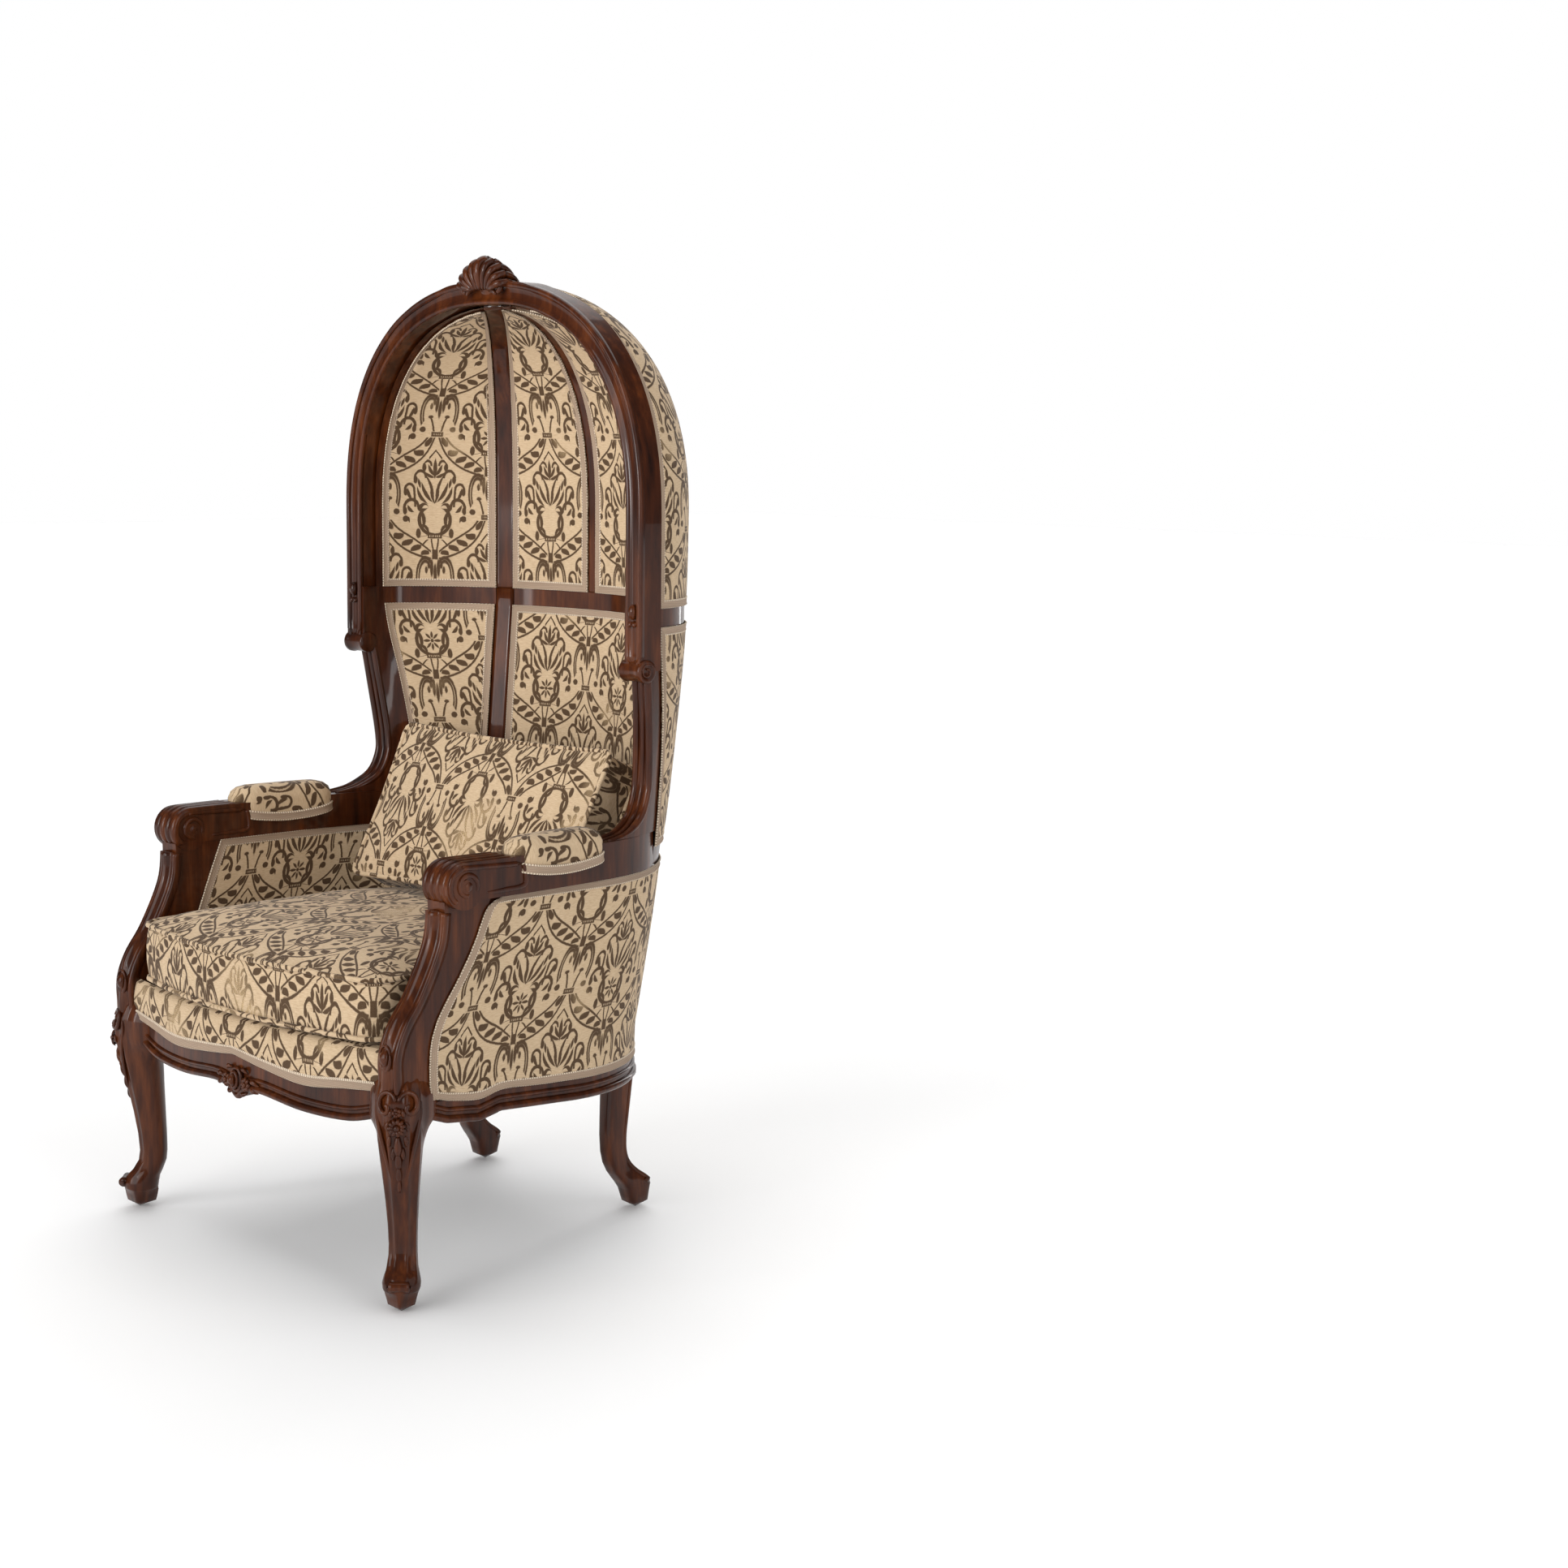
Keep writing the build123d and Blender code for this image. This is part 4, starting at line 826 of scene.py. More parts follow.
def between(points, height):
    """A smooth line through (y, height) points, read at a height."""
    points = sorted(points, key=lambda point: point[1])
    if height <= points[0][1]:
        return points[0][0]
    for index in range(1, len(points)):
        if height <= points[index][1] or index == len(points) - 1:
            before = points[max(index - 2, 0)]
            low, high = points[index - 1], points[index]
            after = points[min(index + 1, len(points) - 1)]
            part = min((height - low[1]) / (high[1] - low[1]), 1)
            rise = high[1] - low[1]
            slope_low = (high[0] - before[0]) / (high[1] - before[1]) * rise
            slope_high = (after[0] - low[0]) / (after[1] - low[1]) * rise
            p2, p3 = part * part, part ** 3
            return ((2 * p3 - 3 * p2 + 1) * low[0] + (p3 - 2 * p2 + part) * slope_low
                    + (3 * p2 - 2 * p3) * high[0] + (p3 - p2) * slope_high)


STILE_BACK = (
    (0.162, 1.050), (0.169, 0.983), (0.184, 0.892), (0.194, 0.802), (0.197, 0.719), (0.197, 0.656),
)
SUPPORT_BACK = (
    (-0.2914, 0.300), (-0.2914, 0.350), (-0.2735, 0.405), (-0.2449, 0.473), (-0.2126, 0.5555),
    (-0.184, 0.624),
)
SUPPORT_OUTSIDE = 0.392
SUPPORT_BLEND = 0.035
ARM_FRONT = (
    (-0.301, 0.300), (-0.3045, 0.350), (-0.302, 0.405), (-0.291, 0.440), (-0.272, 0.473), (-0.243, 0.515),
    (-0.219, 0.5555), (-0.202, 0.592), (-0.192, 0.609), (-0.174, 0.619), (-0.150, 0.6245),
)


def side_surface(side, front_edge, bottom, top, inset):
    """A side wall's surface from a front edge to the corner post."""
    @functools.lru_cache(maxsize=None)
    def span(height):
        first = turn_at_y(height, inset, between(front_edge, height))
        return (first, turn_at_post(height, inset, -1), *at_level(BODY_LEVELS, height))

    @functools.lru_cache(maxsize=None)
    def surface(s, t):
        height = bottom + (top - bottom) * t
        first, last, half_width, middle, depth = span(height)
        share = s if side > 0 else 1 - s
        if first < 0:
            straight = -first * (middle - FRONT_Y)
            curved = last * (half_width + depth) / 2
            place = share * (straight + curved)
            turn = (place - straight) / (middle - FRONT_Y if place < straight else (half_width + depth) / 2)
        else:
            turn = first + (last - first) * share
        return body_point(side, turn, height, inset)
    return surface


RAIL_WAVE = (
    (-0.291, 0.325), (-0.264, 0.317), (-0.2018, 0.3085), (-0.158, 0.316), (-0.08, 0.310), (0.003, 0.305),
    (0.1, 0.301), (0.1895, 0.298), (0.262, 0.297),
)


def waved(surface, side, bottom, inset):
    """A side surface whose foot follows the seat rail's wave."""
    @functools.lru_cache(maxsize=None)
    def lower(s, t):
        point = surface(s, t)
        foot = between([(z, y) for y, z in RAIL_WAVE], point.y)
        height = point.z + (foot - bottom) * (1 - t) ** 2
        return body_point(side, turn_at_y(height, inset, point.y), height, inset)
    return lower


def clamped(value):
    """A value held between 0 and 1."""
    return min(max(value, 0), 1)


def over_support(surface, side):
    """The outer arm's surface, raised at its front to lie over the support's flat side."""
    @functools.lru_cache(maxsize=None)
    def raised(s, t):
        point = surface(s, t)
        share = clamped((between(SUPPORT_BACK, point.z) - point.y) / SUPPORT_BLEND + 1)
        lift = max(SUPPORT_OUTSIDE + 0.0008 - abs(point.x), 0) * share * share * (3 - 2 * share)
        return Vector((point.x + side * lift, point.y, point.z))
    return raised


def back_surface(bottom, top, inset):
    """The back wall's surface between the corner posts."""
    span = functools.lru_cache(maxsize=None)(lambda height: turn_at_post(height, inset, 1))

    @functools.lru_cache(maxsize=None)
    def surface(s, t):
        height = bottom + (top - bottom) * t
        edge_turn = span(height)
        turn = edge_turn + (math.pi - 2 * edge_turn) * s
        point = body_point(1, min(turn, math.pi - turn), height, inset)
        return Vector((point.x if turn <= math.pi / 2 else -point.x, point.y, height))
    return surface


GIMP_FOOT = 0.318
ARM_RAIL_BOTTOM = 0.624
ARM_RAIL_TOP = 0.656
MID_RAIL_BOTTOM = 1.020
DECK_TOP = 0.402
LINING_BOTTOM = DECK_TOP - 0.02
CORNER_INSET = -0.0004
for name, side in SIDES:
    outer = side_surface(side, ARM_FRONT, GIMP_FOOT, ARM_RAIL_BOTTOM, COVER_INSET)
    outer = over_support(waved(outer, side, GIMP_FOOT, COVER_INSET), side)
    panel(f"arm_fabric_{name}", outer, 1, [f"arm_cover_{name}"], start=(0.055, 0.155))
    # The wood that shows between the arm panel's rounded corner, the support and the arm
    bm = bmesh.new()
    for vertex in bmesh.ops.create_grid(bm, x_segments=6, y_segments=4, size=0.5)["verts"]:
        y, z = -0.20 + 0.06 * (vertex.co.x + 0.5), 0.585 + 0.045 * (vertex.co.y + 0.5)
        vertex.co = body_point(side, turn_at_y(z, CORNER_INSET, y), z, CORNER_INSET)
    wooden(f"arm_corner_{name}", bm)
    cores = [[f"{part}_cores"] if side > 0 else [] for part in ("arm", "wing")]
    inner = side_surface(side, SUPPORT_BACK, LINING_BOTTOM, ARM_RAIL_BOTTOM, LINING_INSET)
    panel(f"arm_inside_{name}", inner, -1, [f"arm_lining_{name}"] + cores[0],
          edges="left right top", start=(0, 0.12))
    for which, out, inset, replaced in (
        ("fabric", 1, COVER_INSET, [f"wing_cover_{name}"]),
        ("inside", -1, LINING_INSET, [f"wing_lining_{name}"] + cores[1]),
    ):
        wing = side_surface(side, STILE_BACK, ARM_RAIL_TOP, MID_RAIL_BOTTOM, inset)
        panel(f"wing_{which}_{name}", wing, out, replaced, start=(0.11, 0))
panel("back_fabric", back_surface(GIMP_FOOT, MID_RAIL_BOTTOM, COVER_INSET), 1, ["back_cover"], start=(0, 0.1))
panel("back_inside", back_surface(LINING_BOTTOM, MID_RAIL_BOTTOM, LINING_INSET), -1,
      ["back_lining", "back_core"], edges="left right top", start=(0, 0.1))

# Seat cushion: loose, boxed, piped along both edges and filled until it crowns.
# It lies on the deck, against the inside panels, and bows out over the front rail.
CUSHION_BOTTOM = 0.4023
CUSHION_PIPING = (0.412, 0.503)
CUSHION_TOP = 0.536
PIPING_RADIUS = 0.0042
PUCKER = 0.0022


def closed_outline(points, count):
    """A closed line through points, divided evenly."""
    points = list(points) + [points[0]]
    lengths = [0]
    for before, after in zip(points, points[1:]):
        lengths.append(lengths[-1] + math.dist(before, after))
    return [along_line(points, lengths, index / count) for index in range(count)]


def cushion_plan(count=176):
    """The cushion's plan, from its widest place on the right round the back, the left and the front."""
    side, depth, front, ends, bow, corner = 0.333, 0.279, 0.324, -0.364, -0.397, 0.045
    points = [(side * math.cos(math.pi * k / 60), -0.008 + depth * math.sin(math.pi * k / 60))
              for k in range(61)]
    left = [(-side + (side - front) * k / 6, -0.008 + (ends + corner + 0.008) * k / 6) for k in range(1, 7)]
    for k in range(1, 5):
        turn = math.pi / 2 * k / 4
        left.append((-front + corner * (1 - math.cos(turn)), ends + corner * (1 - math.sin(turn))))
    reach = front - corner
    bow_line = [(reach * (k / 12 - 1), ends - (ends - bow) * (1 - (k / 12 - 1) ** 2)) for k in range(1, 24)]
    return closed_outline(points + left + bow_line + [(-x, y) for x, y in reversed(left)], count)


def sweep(bm, path, section, up, sizes=None, closed=False):
    """A section of (aside, up) offsets carried along a path; sizes scale it at each point."""
    path = [Vector(point) for point in path]
    rings = []
    for index, point in enumerate(path):
        before = path[index - 1] if index or closed else path[index]
        after = path[(index + 1) % len(path)] if index + 1 < len(path) or closed else path[index]
        ahead = (after - before).normalized()
        aside = ahead.cross(up).normalized()
        above = aside.cross(ahead)
        size = sizes[index] if sizes else 1
        rings.append([point + (aside * a + above * b) * size for a, b in section])
    known = set(bm.faces)
    rings_mesh(bm, rings, joined=closed)
    fresh = [face for face in bm.faces if face not in known]
    bmesh.ops.recalc_face_normals(bm, faces=fresh)
    return fresh


def round_section(radius, sides=8, flat=1):
    """A circle's or an oval's corners."""
    turns = [2 * math.pi * k / sides for k in range(sides)]
    return [(radius * math.cos(turn), flat * radius * math.sin(turn)) for turn in turns]


def rod(bm, path, radius, sides, up, sizes=None, flat=1):
    """A round bead along a path."""
    return sweep(bm, path, round_section(radius, sides, flat), up, sizes)


def piping(bm, path, up, uv_layer):
    """Cord covered in the same cloth, sewn into a seam."""
    faces = sweep(bm, path, round_section(PIPING_RADIUS), up, closed=True)
    unwrap(faces, uv_layer,
           lambda vertex: (vertex.co.x + vertex.co.y * 0.4, vertex.co.z + vertex.co.y * 0.8 + 0.02))


CROWN_SHARES = (1, 0.985, 0.96, 0.92, 0.86, 0.78, 0.68, 0.57, 0.45, 0.33, 0.21, 0.1, 0.02)


def boxed_cushion(name, body, replaced, outline, seams, low, high, to_world, crown_power, draw_in,
                  run=1, start=0):
    """A boxed cushion: two crowned faces, a boxing strip that draws in, and piping at both seams."""
    bm, uv_layer = cloth_bmesh()
    centre = Vector((sum(p[0] for p in outline) / len(outline), sum(p[1] for p in outline) / len(outline)))
    origin = to_world(0, 0, 0)
    plane_x, plane_y, up = to_world(1, 0, 0) - origin, to_world(0, 1, 0) - origin, to_world(0, 0, 1) - origin

    def face_rings(seam, top):
        """Rings from a seam in to the middle of a crowned, slightly puckered face."""
        rings = []
        for share in CROWN_SHARES:
            rise = (top - seam) * (1 - share ** crown_power)
            ring_points = []
            for px, py in outline:
                qx, qy = centre.x + (px - centre.x) * share, centre.y + (py - centre.y) * share
                wave = mathutils.noise.noise(Vector((qx * 9, qy * 9, top * 40))) if share < 1 else 0
                ring_points.append(to_world(qx, qy, seam + rise + math.copysign(PUCKER * wave, top - seam)))
            rings.append(ring_points)
        return rings

    def face_place(vertex):
        """The cloth's place over a face."""
        across, along = ((vertex.co - origin).dot(plane) for plane in (plane_x, plane_y))
        return run * across, run * along + start

    for seam, top in zip(seams, (low, high)):
        known = set(bm.faces)
        rings_mesh(bm, face_rings(seam, top), close_first=False)
        unwrap(set(bm.faces) - known, uv_layer, face_place)
    boxing = []
    for share in (0, 0.12, 0.35, 0.65, 0.88, 1):
        inset = draw_in * math.sin(math.pi * share)
        grow = 1 - inset / 0.3
        boxing.append([to_world(centre.x + (px - centre.x) * grow, centre.y + (py - centre.y) * grow,
                                seams[0] + (seams[1] - seams[0]) * share) for px, py in outline])
    known = set(bm.faces)
    loops = rings_mesh(bm, boxing, close_first=False, close_last=False)
    length = [0]
    for before, after in zip(outline, outline[1:] + outline[:1]):
        length.append(length[-1] + math.dist(before, after))
    order = {vertex: (k, row) for row, loop in enumerate(loops) for k, vertex in enumerate(loop)}
    for face in set(bm.faces) - known:
        wraps = {order[v][0] for v in face.verts} == {0, len(outline) - 1}
        for loop in face.loops:
            k, row = order[loop.vert]
            along = length[-1] if wraps and k == 0 else length[k]
            loop[uv_layer].uv = (along, (seams[1] - seams[0]) * row / (len(loops) - 1) + 0.04)
    bmesh.ops.remove_doubles(bm, verts=bm.verts, dist=0.00001)
    bmesh.ops.recalc_face_normals(bm, faces=bm.faces)
    for seam in seams:
        piping(bm, [to_world(*(centre + (Vector(p) - centre) * 1.004), seam) for p in outline], up, uv_layer)
    upholstered(bm, name, [damask], body, replaced)


plan = cushion_plan()
boxed_cushion("seat_cushion_fabric", "seat_cushion_body", ["seat_cushion"], plan, CUSHION_PIPING,
              CUSHION_BOTTOM, CUSHION_TOP, lambda x, y, z: Vector((x, y, z)), 4.6, -0.004)

# Back pillow: loose, boxed and piped like the cushion.
# It stands on the cushion and leans against the back panel.
PILLOW_LEAN = math.radians(26)
PILLOW_ORIGIN = Vector((0, 0.027, 0.5568))
PILLOW_SEAMS = (0.012, 0.084)
PILLOW_BACK = -0.010
PILLOW_FRONT = 0.096


def pillow_place(across, up, deep):
    """A point of the pillow in the chair: across it, up its face, and into its depth."""
    return PILLOW_ORIGIN + Vector((-across, up * math.sin(PILLOW_LEAN) + deep * math.cos(PILLOW_LEAN),
                                   up * math.cos(PILLOW_LEAN) - deep * math.sin(PILLOW_LEAN)))


def pillow_outline(half_width, height, sag, corner, count=132):
    """A rectangle with round corners, whose sides draw in between them."""
    points = []
    for quarter, (sx, sy) in enumerate(((1, 1), (-1, 1), (-1, -1), (1, -1))):
        for k in range(6):
            turn = math.pi / 2 * (quarter + k / 5)
            points.append((sx * (half_width - corner) + corner * math.cos(turn),
                           height / 2 + sy * (height / 2 - corner) + corner * math.sin(turn)))
    drawn = []
    for px, py in closed_outline(points, count):
        bow_x = sag * (1 - (2 * py / height - 1) ** 2) * abs(px / half_width) ** 6
        bow_y = sag * (1 - (px / half_width) ** 2) * abs(2 * py / height - 1) ** 6
        drawn.append((px - math.copysign(bow_x, px), py - math.copysign(bow_y, py - height / 2)))
    return drawn


boxed_cushion("back_pillow_fabric", "back_pillow_body", ["back_pillow"],
              pillow_outline(0.277, 0.286, 0.008, 0.02), PILLOW_SEAMS, PILLOW_BACK, PILLOW_FRONT,
              pillow_place, 2.6, 0.003, run=-1, start=0.03)

# Front border: a padded band of the damask between the rail's carved edge and the cushion.
# Gimp follows the wave of the wood below it. The deck behind it is covered in the same cloth.
FRONT_WAVE = ((0.3447, 0), (0.334, 0.087), (0.326, 0.181), (0.336, 0.269), (0.342, 0.336), (0.342, 0.36))
BORDER_HALF = 0.349


def front_bow(x):
    """How far back from its middle the front of the seat has bowed."""
    return 0.031 * (x / 0.336) ** 2


def border_surface(s, t):
    """The border's face, rounded over the deck's edge at its top."""
    x = (2 * s - 1) * BORDER_HALF
    foot = between(FRONT_WAVE, abs(x)) - 0.003
    face = -0.3895 + front_bow(x)
    if t < 0.8:
        return Vector((x, face - 0.004 * math.sin(math.pi * t / 0.8), foot + (0.392 - foot) * t / 0.8))
    turn = (t - 0.8) / 0.2 * math.pi / 2
    return Vector((x, face + 0.010 * (1 - math.cos(turn)), 0.392 + 0.0085 * math.sin(turn)))


panel("border_fabric", border_surface, 1, ["front_border"], swell=0.002, edges="bottom", start=(0, 0.09),
      spacing=0.008)

# The share of the cushion's plan, and the height there
DECK_LEVELS = (
    (1, 0.353), (1, 0.396), (0.985, 0.4), (0.9, 0.4015), (0.6, 0.4018), (0.3, 0.4018), (0.05, 0.4018),
)
DECK_MIDDLE_Y = -0.06
bm, uv_layer = cloth_bmesh()
deck_rings = []
for share, height in DECK_LEVELS:
    ring_points = []
    for px, py in plan:
        back = (py - DECK_MIDDLE_Y) * share * (0.965 if py < 0 else 1)
        ring_points.append(Vector((px * share * 1.004, DECK_MIDDLE_Y + back, height)))
    deck_rings.append(ring_points)
rings_mesh(bm, deck_rings, close_first=False)
unwrap(bm.faces, uv_layer, lambda vertex: (vertex.co.x, vertex.co.y + vertex.co.z))
bmesh.ops.recalc_face_normals(bm, faces=bm.faces)
upholstered(bm, "deck_fabric", [damask], "chair_frame", ["seat_deck_pad"])

# Arm pads: stuffed tops nailed to the armrests, with gimp round the foot.
# They are long ovals that turn inwards a little to the front and sag over the armrest's curve.
PAD_Y = -0.046
PAD_X = 0.373
PAD_SLANT = -0.09
PAD_SAG = 0.012
PAD_FOLD_Z = 0.7
# Each ring's length, width and height
PAD_RINGS = (
    (0.196, 0.069, 0.676), (0.195, 0.068, 0.688), (0.186, 0.060, 0.6985), (0.168, 0.047, 0.705),
    (0.14, 0.03, 0.7085), (0.1, 0.012, 0.7098),
)
for name, side in SIDES:
    ahead = Vector((side * PAD_SLANT, 1, 0)).normalized()
    beside = Vector((ahead.y, -ahead.x, 0))

    def pad_ring(length, width, height, droop=0.0, count=64):
        """An oval with straight sides, whose ends droop."""
        half, radius = length / 2 - width / 2, width / 2
        points = []
        for end in (1, -1):
            for k in range(17):
                turn = math.pi * k / 16 - math.pi / 2
                points.append((end * (half + radius * math.cos(turn)), end * radius * math.sin(turn)))
        ring_points = []
        for a, b in closed_outline(points, count):
            low = droop * (1 - (2 * a / length) ** 2)
            ring_points.append(Vector((side * PAD_X, PAD_Y, height - low)) + ahead * a + beside * b)
        return ring_points

    def pad_place(vertex):
        """The cloth's place over the pad, whose sides are folded down."""
        from_middle = vertex.co - Vector((side * PAD_X, PAD_Y, PAD_FOLD_Z))
        sideways = from_middle.dot(beside)
        down = math.copysign(PAD_FOLD_Z - vertex.co.z, sideways) * 0.8
        return sideways + down, from_middle.dot(ahead) + 0.06

    bm, uv_layer = cloth_bmesh()
    rings = [pad_ring(0.192, 0.066, 0.662, PAD_SAG)] + [pad_ring(*row) for row in PAD_RINGS]
    rings_mesh(bm, rings, close_first=False)
    unwrap(bm.faces, uv_layer, pad_place)
    bmesh.ops.recalc_face_normals(bm, faces=bm.faces)
    foot = pad_ring(0.1945, 0.0685, 0.666, PAD_SAG)
    measured = sum((after - before).length for before, after in zip(foot, foot[1:] + foot[:1]))
    section = [(-GIMP_LIFT - rise, share * GIMP_WIDE - GIMP_WIDE / 2) for share, rise in GIMP_SECTION]
    for face in sweep(bm, foot, section + [(0.001, 0)], UPWARD, closed=True):
        face.material_index = 1
        for loop in face.loops:
            nearest = min(range(len(foot)), key=lambda k: (foot[k] - loop.vert.co).length)
            if nearest == 0 and any((foot[-1] - v.co).length < (foot[1] - v.co).length for v in face.verts):
                nearest = len(foot)
            up = loop.vert.co.z - foot[nearest % len(foot)].z
            loop[uv_layer].uv = (nearest * measured / len(foot), up + GIMP_WIDE / 2)
    upholstered(bm, f"arm_pad_fabric_{name}", [damask, gimp], "chair_frame", [f"arm_pad_{name}"])

# Arch moulding: an outer bead, a shallow hollow and an inner bead cut round the hood's mouth.
# All carving is mahogany with the same lacquer as the timbers that it lies on.
def smooth_path(points, steps=6):
    """A path through points in space, rounded between them."""
    points = [Vector(point) for point in points]
    path = []
    for index in range(len(points) - 1):
        p0, p1 = points[max(index - 1, 0)], points[index]
        p2, p3 = points[index + 1], points[min(index + 2, len(points) - 1)]
        for step in range(steps):
            t = step / steps
            bend = (2 * p0 - 5 * p1 + 4 * p2 - p3) * t * t
            path.append(0.5 * (2 * p1 + (p2 - p0) * t + bend + (3 * p1 - p0 - 3 * p2 + p3) * t ** 3))
    return path + [points[-1]]


def tapered(start, middle, end, count):
    """Sizes that grow from start to middle and shrink to end."""
    sizes = []
    for share in (index / (count - 1) for index in range(count)):
        tip = start if share < 0.5 else end
        sizes.append(tip + (middle - tip) * math.sin(math.pi * share))
    return sizes


def drop(bm, points, wide, up, flat=0.7, ends=(0.25, 0.15), sides=8, steps=5):
    """A carved leaf, petal or bead: a stem that swells and tapers along a path."""
    path = smooth_path(points, steps)
    return rod(bm, path, wide, sides, up, tapered(ends[0], 1, ends[1], len(path)), flat)


ARCH_HALF_WIDTH = 0.393
ARCH_RISE = 0.389
ARCH_FRONT_Y = 0.122
SCROLL_HEIGHT = 0.951
arch_half = [(ARCH_HALF_WIDTH, SCROLL_HEIGHT + (HOOD_SPRING - SCROLL_HEIGHT) * k / 10) for k in range(10)]
for k in range(49):
    across, up = round_shares(math.pi / 2 * k / 48)
    arch_half.append((ARCH_HALF_WIDTH * across, HOOD_SPRING + ARCH_RISE * up))
arch_path = [(x, ARCH_FRONT_Y, z) for x, z in arch_half + [(-x, z) for x, z in reversed(arch_half[:-1])]]
# Across the face from its outer edge, and forward of it
ARCH_SECTION = (
    (-0.0008, -0.004), (-0.0008, 0.004), (0.0008, 0.0062), (0.0035, 0.0070), (0.0062, 0.0062),
    (0.0078, 0.0042), (0.0090, 0.0022), (0.013, 0.0009), (0.018, 0.0004), (0.023, 0.0008), (0.0265, 0.0020),
    (0.0283, 0.0032), (0.0300, 0.0050), (0.0325, 0.0058), (0.0350, 0.0050), (0.0368, 0.0028),
    (0.0368, -0.004),
)
bm = bmesh.new()
sweep(bm, arch_path, [(-inward, forward) for inward, forward in ARCH_SECTION], FORWARD)
wooden("arch_face_moulding", bm)

# Arch lip: the arch's inner face, a lacquered strip of its timber.
# It runs back to the gimp of the hood's inside panels.
LIP_INSET = 0.0355
LIP_FRONT_Y = 0.150
LIP_DEEP = 0.036
LIP_CURVED_SHARE = 0.72
bm = bmesh.new()
for vertex in bmesh.ops.create_grid(bm, x_segments=120, y_segments=3, size=0.5)["verts"]:
    y = LIP_FRONT_Y + LIP_DEEP * (vertex.co.y + 0.5)
    q = (y - HOOD_AXIS_Y) / (HOOD_DEPTH - LIP_INSET)
    around = vertex.co.x * 2
    if abs(around) > LIP_CURVED_SHARE:
        share, height = 1, RAIL_TOP + (HOOD_SPRING - RAIL_TOP) * (1 - abs(around)) / (1 - LIP_CURVED_SHARE)
    else:
        share = q + (1 - q) * math.sin(math.pi / 2 * abs(around) / LIP_CURVED_SHARE)
        up = round_shares(math.acos(share ** (CURVE_POWER / 2)))[1]
        height = HOOD_SPRING + (HOOD_RISE - LIP_INSET) * up
    x = (HOOD_HALF_WIDTH - LIP_INSET) * math.sqrt(max(share ** 2 - q ** 2, 0))
    vertex.co = (math.copysign(x, around), y, height)
wooden("arch_inner_lip", bm)

# Small oval drops on the stiles, level with the middle rail.
# Each has two leaves under it, carved in one with the face.
STILE_FACE_X = 0.3745
DROP_LEAF = ((0.001, 0.119, 1.031), (0.005, 0.116, 1.025), (0.009, 0.119, 1.03))
for name, side in SIDES:
    bm = bmesh.new()
    x = side * STILE_FACE_X
    bead = ((x, 0.1195, 1.058), (x, 0.117, 1.046), (x, 0.1195, 1.033))
    drop(bm, bead, 0.0078, FORWARD, 0.9, (0.3, 0.3), 12)
    for mirror in (-1, 1):
        drop(bm, [(x + mirror * out, y, z) for out, y, z in DROP_LEAF], 0.0042, FORWARD, 0.9)
    wooden(f"stile_drop_{name}", bm)

# Roll scrolls at the stiles' foot: a short roll across the wood.
# A spiral is carved on its outer end.
def spiral(centre, start_radius, end_radius, start_turn, turns, steps=40):
    """A spiral in an upright plane that faces the chair's side."""
    path = []
    for k in range(steps + 1):
        share = k / steps
        radius = start_radius + (end_radius - start_radius) * share
        turn = start_turn + 2 * math.pi * turns * share
        y, z = centre[1] + radius * math.cos(turn), centre[2] + radius * math.sin(turn)
        path.append(Vector((centre[0], y, z)))
    return path


SCROLL_Y = 0.130
# Places along the roll and its radius there
ROLL_STATIONS = (
    (0.346, 0.004), (0.346, 0.0155), (0.348, 0.0182), (0.352, 0.0182), (0.3545, 0.0172), (0.387, 0.0172),
    (0.3895, 0.0188), (0.396, 0.0188), (0.3978, 0.017), (0.3978, 0.013), (0.3962, 0.0115), (0.3962, 0.002),
)
for name, side in SIDES:
    bm = bmesh.new()
    rings = []
    for along, radius in ROLL_STATIONS:
        circle = round_section(radius, 32)
        rings.append([Vector((side * along, SCROLL_Y + y, SCROLL_HEIGHT + z)) for y, z in circle])
    rings_mesh(bm, rings)
    bmesh.ops.recalc_face_normals(bm, faces=bm.faces)
    eye = spiral((side * 0.3968, SCROLL_Y, SCROLL_HEIGHT), 0.0135, 0.003, 0.5, 1.25)
    rod(bm, eye, 0.0019, 6, Vector((side, 0, 0)))
    wooden(f"stile_scroll_{name}", bm)

# Stile fronts: two wide beads with a narrow one between them run down the front edge.
# At their foot they sweep into the arms.
STILE_FRONT = (
    (0.139, 0.950), (0.144, 0.9376), (0.152, 0.880), (0.162, 0.784), (0.1589, 0.7446), (0.141, 0.7111),
    (0.102, 0.6897), (0.057, 0.683),
)
for name, side in SIDES:
    bm = bmesh.new()
    for inset, radius in ((0.0045, 0.0062), (0.0185, 0.0045), (0.0335, 0.0062)):
        line = []
        for y, z in STILE_FRONT:
            wall = body_point(side, turn_at_y(z, inset, y), z, inset)
            line.append((wall.x, y + 0.001, z))
        path = smooth_path(line, 8)
        sizes = [1] * (len(path) - 14) + [1 - 0.05 * k for k in range(14)]
        rod(bm, path, radius, 10, Vector((side, 0, 0)), sizes)
    wooden(f"stile_beads_{name}", bm)

